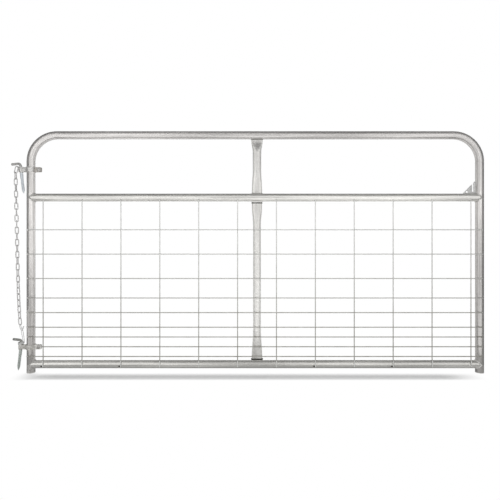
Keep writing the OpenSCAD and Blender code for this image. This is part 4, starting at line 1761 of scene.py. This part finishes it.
@dataclass
class Studio:
    """The pale floor, the light and the camera."""

    eye: Point = (0.0134, -2.05, 0.645)
    lens: float = 28.0
    sensor: float = 36.0
    sky: float = 0.34
    lamps: tuple[Lamp, ...] = (
        Lamp("front_lamp", 60.0, (0.0, -3.0, 0.8), (0.0, 0.0, 0.8), (2.4, 1.4)),
        Lamp("low_lamp", 9.0, (0.0, -2.0, 0.03), (0.0, 0.0, 1.0), (3.2, 0.5)),
        Lamp("back_lamp", 50.0, (0.0, 3.0, 0.8), (0.0, 0.0, 0.8), (2.4, 1.4)),
    )
    floor_half: float = 30.0
    floor_z: float = -0.5 * MM
    floor_grey: float = 0.86
    shade_lean: Point = (0.0, 0.82, -0.57)
    shade_reach: float = 0.11
    shade_depth: float = 5.4
    shade_least: float = 0.3
    shade_ends: Span = (0.98, 1.22)
    shade_samples: int = 32
    cloth_half: float = 4.0
    flag_x: float = 1.36
    flag_z: float = 2.3
    flag_near: float = -1.4
    flag_far: float = 5.0
    flag_tone: float = 0.015
    side_near: Span = (-0.4, -0.22)
    side_far: float = 0.2
    side_foot: Span = (0.3, 0.0)
    strip_y: float = -3.0
    strip_z: Span = (1.05, 1.35)
    strip_level: float = 1.6
    screen: Point = (0.45, -2.4, 1.6)
    screen_level: float = 0.55
    apron_near: float = -0.4
    apron_far: float = 0.06
    apron_z: float = 2 * MM
    apron_tone: float = 0.18

    def build(self) -> None:
        """Sets up the whole stage."""
        self.build_camera()
        self.build_world()
        self.build_floor()
        self.build_cloths()
        for lamp in self.lamps:
            lamp.hang()
        bpy.context.scene.view_settings.view_transform = "Standard"

    def build_camera(self) -> None:
        """Places the camera straight in front of the gate."""
        data = bpy.data.cameras.new("front_camera")
        data.lens, data.sensor_width = self.lens, self.sensor
        camera = bpy.data.objects.new("front_camera", data)
        camera.location, camera.rotation_euler = self.eye, (math.pi / 2, 0, 0)
        bpy.context.scene.collection.objects.link(camera)
        bpy.context.scene.camera = camera

    def build_world(self) -> None:
        """Makes a white surround that lights the gate softly."""
        world = bpy.data.worlds.new("white_surround")
        pad = ShaderPad(world)
        bpy.context.scene.world = world
        level = pad.add("ShaderNodeMapRange", {"Value": pad.seen(), "To Min": self.sky, "To Max": 1.0})
        pad.wire(world.node_tree.nodes["Background"], {"Color": (1, 1, 1, 1), "Strength": level})

    def build_floor(self) -> None:
        """Lays the white floor, which keeps the gate's shadow."""
        skin = Skin()
        skin.flat(laid(self.floor_half, -self.floor_half, self.floor_half, self.floor_z))
        floor = place(skin.mesh("floor"))
        material = bpy.data.materials.new("white_floor")
        pad = ShaderPad(material)
        grey = self.floor_grey
        matt = pad.add("ShaderNodeBsdfDiffuse", {"Color": (grey, grey, grey, 1)})
        tilt = pad.add("ShaderNodeCombineXYZ", dict(zip("XYZ", self.shade_lean)))
        shade = pad.add(
            "ShaderNodeAmbientOcclusion", {"Distance": self.shade_reach, "Normal": tilt}, out="AO",
            samples=self.shade_samples,
        )
        least = self.shade_least
        first = 1 - (1 - least) / self.shade_depth
        deep = pad.add("ShaderNodeMapRange", {"Value": shade, "From Min": first, "To Min": least})
        spot = pad.add("ShaderNodeTexCoord", {}, out="Object")
        off = pad.maths("ABSOLUTE", pad.add("ShaderNodeSeparateXYZ", {"Vector": spot}, out="X"))
        near, far = self.shade_ends
        ends = pad.add(
            "ShaderNodeMapRange", {"Value": off, "From Min": near, "From Max": far, "To Min": deep},
            interpolation_type="SMOOTHSTEP",
        )
        glow = pad.add("ShaderNodeEmission", {"Strength": ends})
        pad.surface(pad.add("ShaderNodeMixShader", {0: pad.seen(), 1: matt, 2: glow}))
        floor.data.materials.append(material)

    def build_cloth(
        self, name: str, sheets: Sequence[Sequence[Point]], tone: float, shades: bool = True
    ) -> None:
        """Hangs flat cloths that only the gate's own surfaces see.

        Args:
            name: Name of the cloths.
            sheets: The corners of each one.
            tone: How light they are.
            shades: Whether they also change the soft light, or are only mirrored.
        """
        skin = Skin()
        for corners in sheets:
            skin.flat(corners)
        cloth = place(skin.mesh(name))
        material = bpy.data.materials.new(name + "_cloth")
        pad = ShaderPad(material)
        pad.surface(pad.add("ShaderNodeEmission", {"Strength": tone}))
        cloth.data.materials.append(material)
        cloth.visible_camera = cloth.visible_shadow = False
        cloth.visible_diffuse = shades

    def build_cloths(self) -> None:
        """Hangs the cloths over, beside and before the gate that give its tubes their streaks."""
        half, x, z, far = self.cloth_half, self.flag_x, self.flag_z, self.side_far
        flags = [laid(half, self.flag_near, self.flag_far, z)]
        for side, near, foot in zip((-x, x), self.side_near, self.side_foot):
            flags.append([(side, near, foot), (side, near, z), (side, far, z), (side, far, foot)])
        self.build_cloth("dark_flags", flags, self.flag_tone)
        apron = laid(half, self.apron_near, self.apron_far, self.apron_z)
        self.build_cloth("grey_apron", [apron], self.apron_tone)
        strip = hung(half, self.strip_y, *self.strip_z)
        self.build_cloth("white_strip", [strip], self.strip_level, shades=False)
        screen_half, screen_y, screen_top = self.screen
        screen = hung(screen_half, screen_y, 0, screen_top)
        self.build_cloth("grey_screen", [screen], self.screen_level, shades=False)


def main() -> None:
    """Loads the frame, dresses it and sets the stage."""
    logging.basicConfig(level=logging.INFO, format="%(name)s: %(message)s")
    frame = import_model()
    plan = GatePlan.read(frame)
    Studio().build()
    welds, spots, links, threads = weld_sheet(), spot_sheet(), chain_sheet(), thread_sheet()
    TubeFrame(plan).build(welds)
    ripple, uneven = 3.4 * MM, 0.6
    # The upper stay's dark head bead paints the contact shadow under the top rail.
    PressedStay(
        plan, "upper_stay", low_t=19 * MM, high_t=6 * MM, middle_t=36.5 * MM, low_taper=126 * MM,
        high_taper=68 * MM, foot_bead=Bead(2.2 * MM, WELD_ZINC, ripple, uneven),
        head_bead=Bead(1.9 * MM, CONTACT_SHADOW_WELD, ripple, uneven), facet=SHADED_FACET_ZINC,
    ).build(welds)
    # The lower stay's black foot and toe beads paint the shadow in the gaps at its ends, partly burnt weld.
    PressedStay(
        plan, "lower_stay", low_t=15 * MM, high_t=20 * MM, middle_t=41 * MM, low_taper=165 * MM,
        high_taper=100 * MM, foot_bead=Bead(4.4 * MM, BURN_AND_SHADOW_WELD, ripple, uneven),
        head_bead=Bead(3.4 * MM, BRIGHT_WELD, ripple, uneven),
        toe_bead=Bead(2.55 * MM, BURN_AND_SHADOW_WELD, ripple, uneven),
        high_flat=25 * MM, foot_rise=7 * MM, toe_drop=8.5 * MM, mottle=190 * MM,
    ).build(welds)
    infill = WireInfill(plan)
    infill.build(spots, welds)
    infill.dress()
    LatchKeeper(plan).build(welds)
    HingeSet(plan, Hinge.UPPER, LIT_UPPER_STRAP_ZINC, SHADED_UPPER_EAR_ZINC).build(threads)
    HingeSet(plan, Hinge.LOWER, SHADED_LOWER_STRAP_ZINC, LIT_LOWER_EAR_ZINC).build(threads)
    ScrewHook(plan, Hinge.UPPER, UPPER_PIN_ZINC, UPPER_LAG_ZINC, lean=-6.5, lift=33 * MM).build(threads)
    ScrewHook(plan, Hinge.LOWER, LOWER_PIN_ZINC, LOWER_LAG_ZINC, lean=6.5, lift=35 * MM).build(threads)
    LatchChain(plan).build(links)


if __name__ == "__main__":
    main()
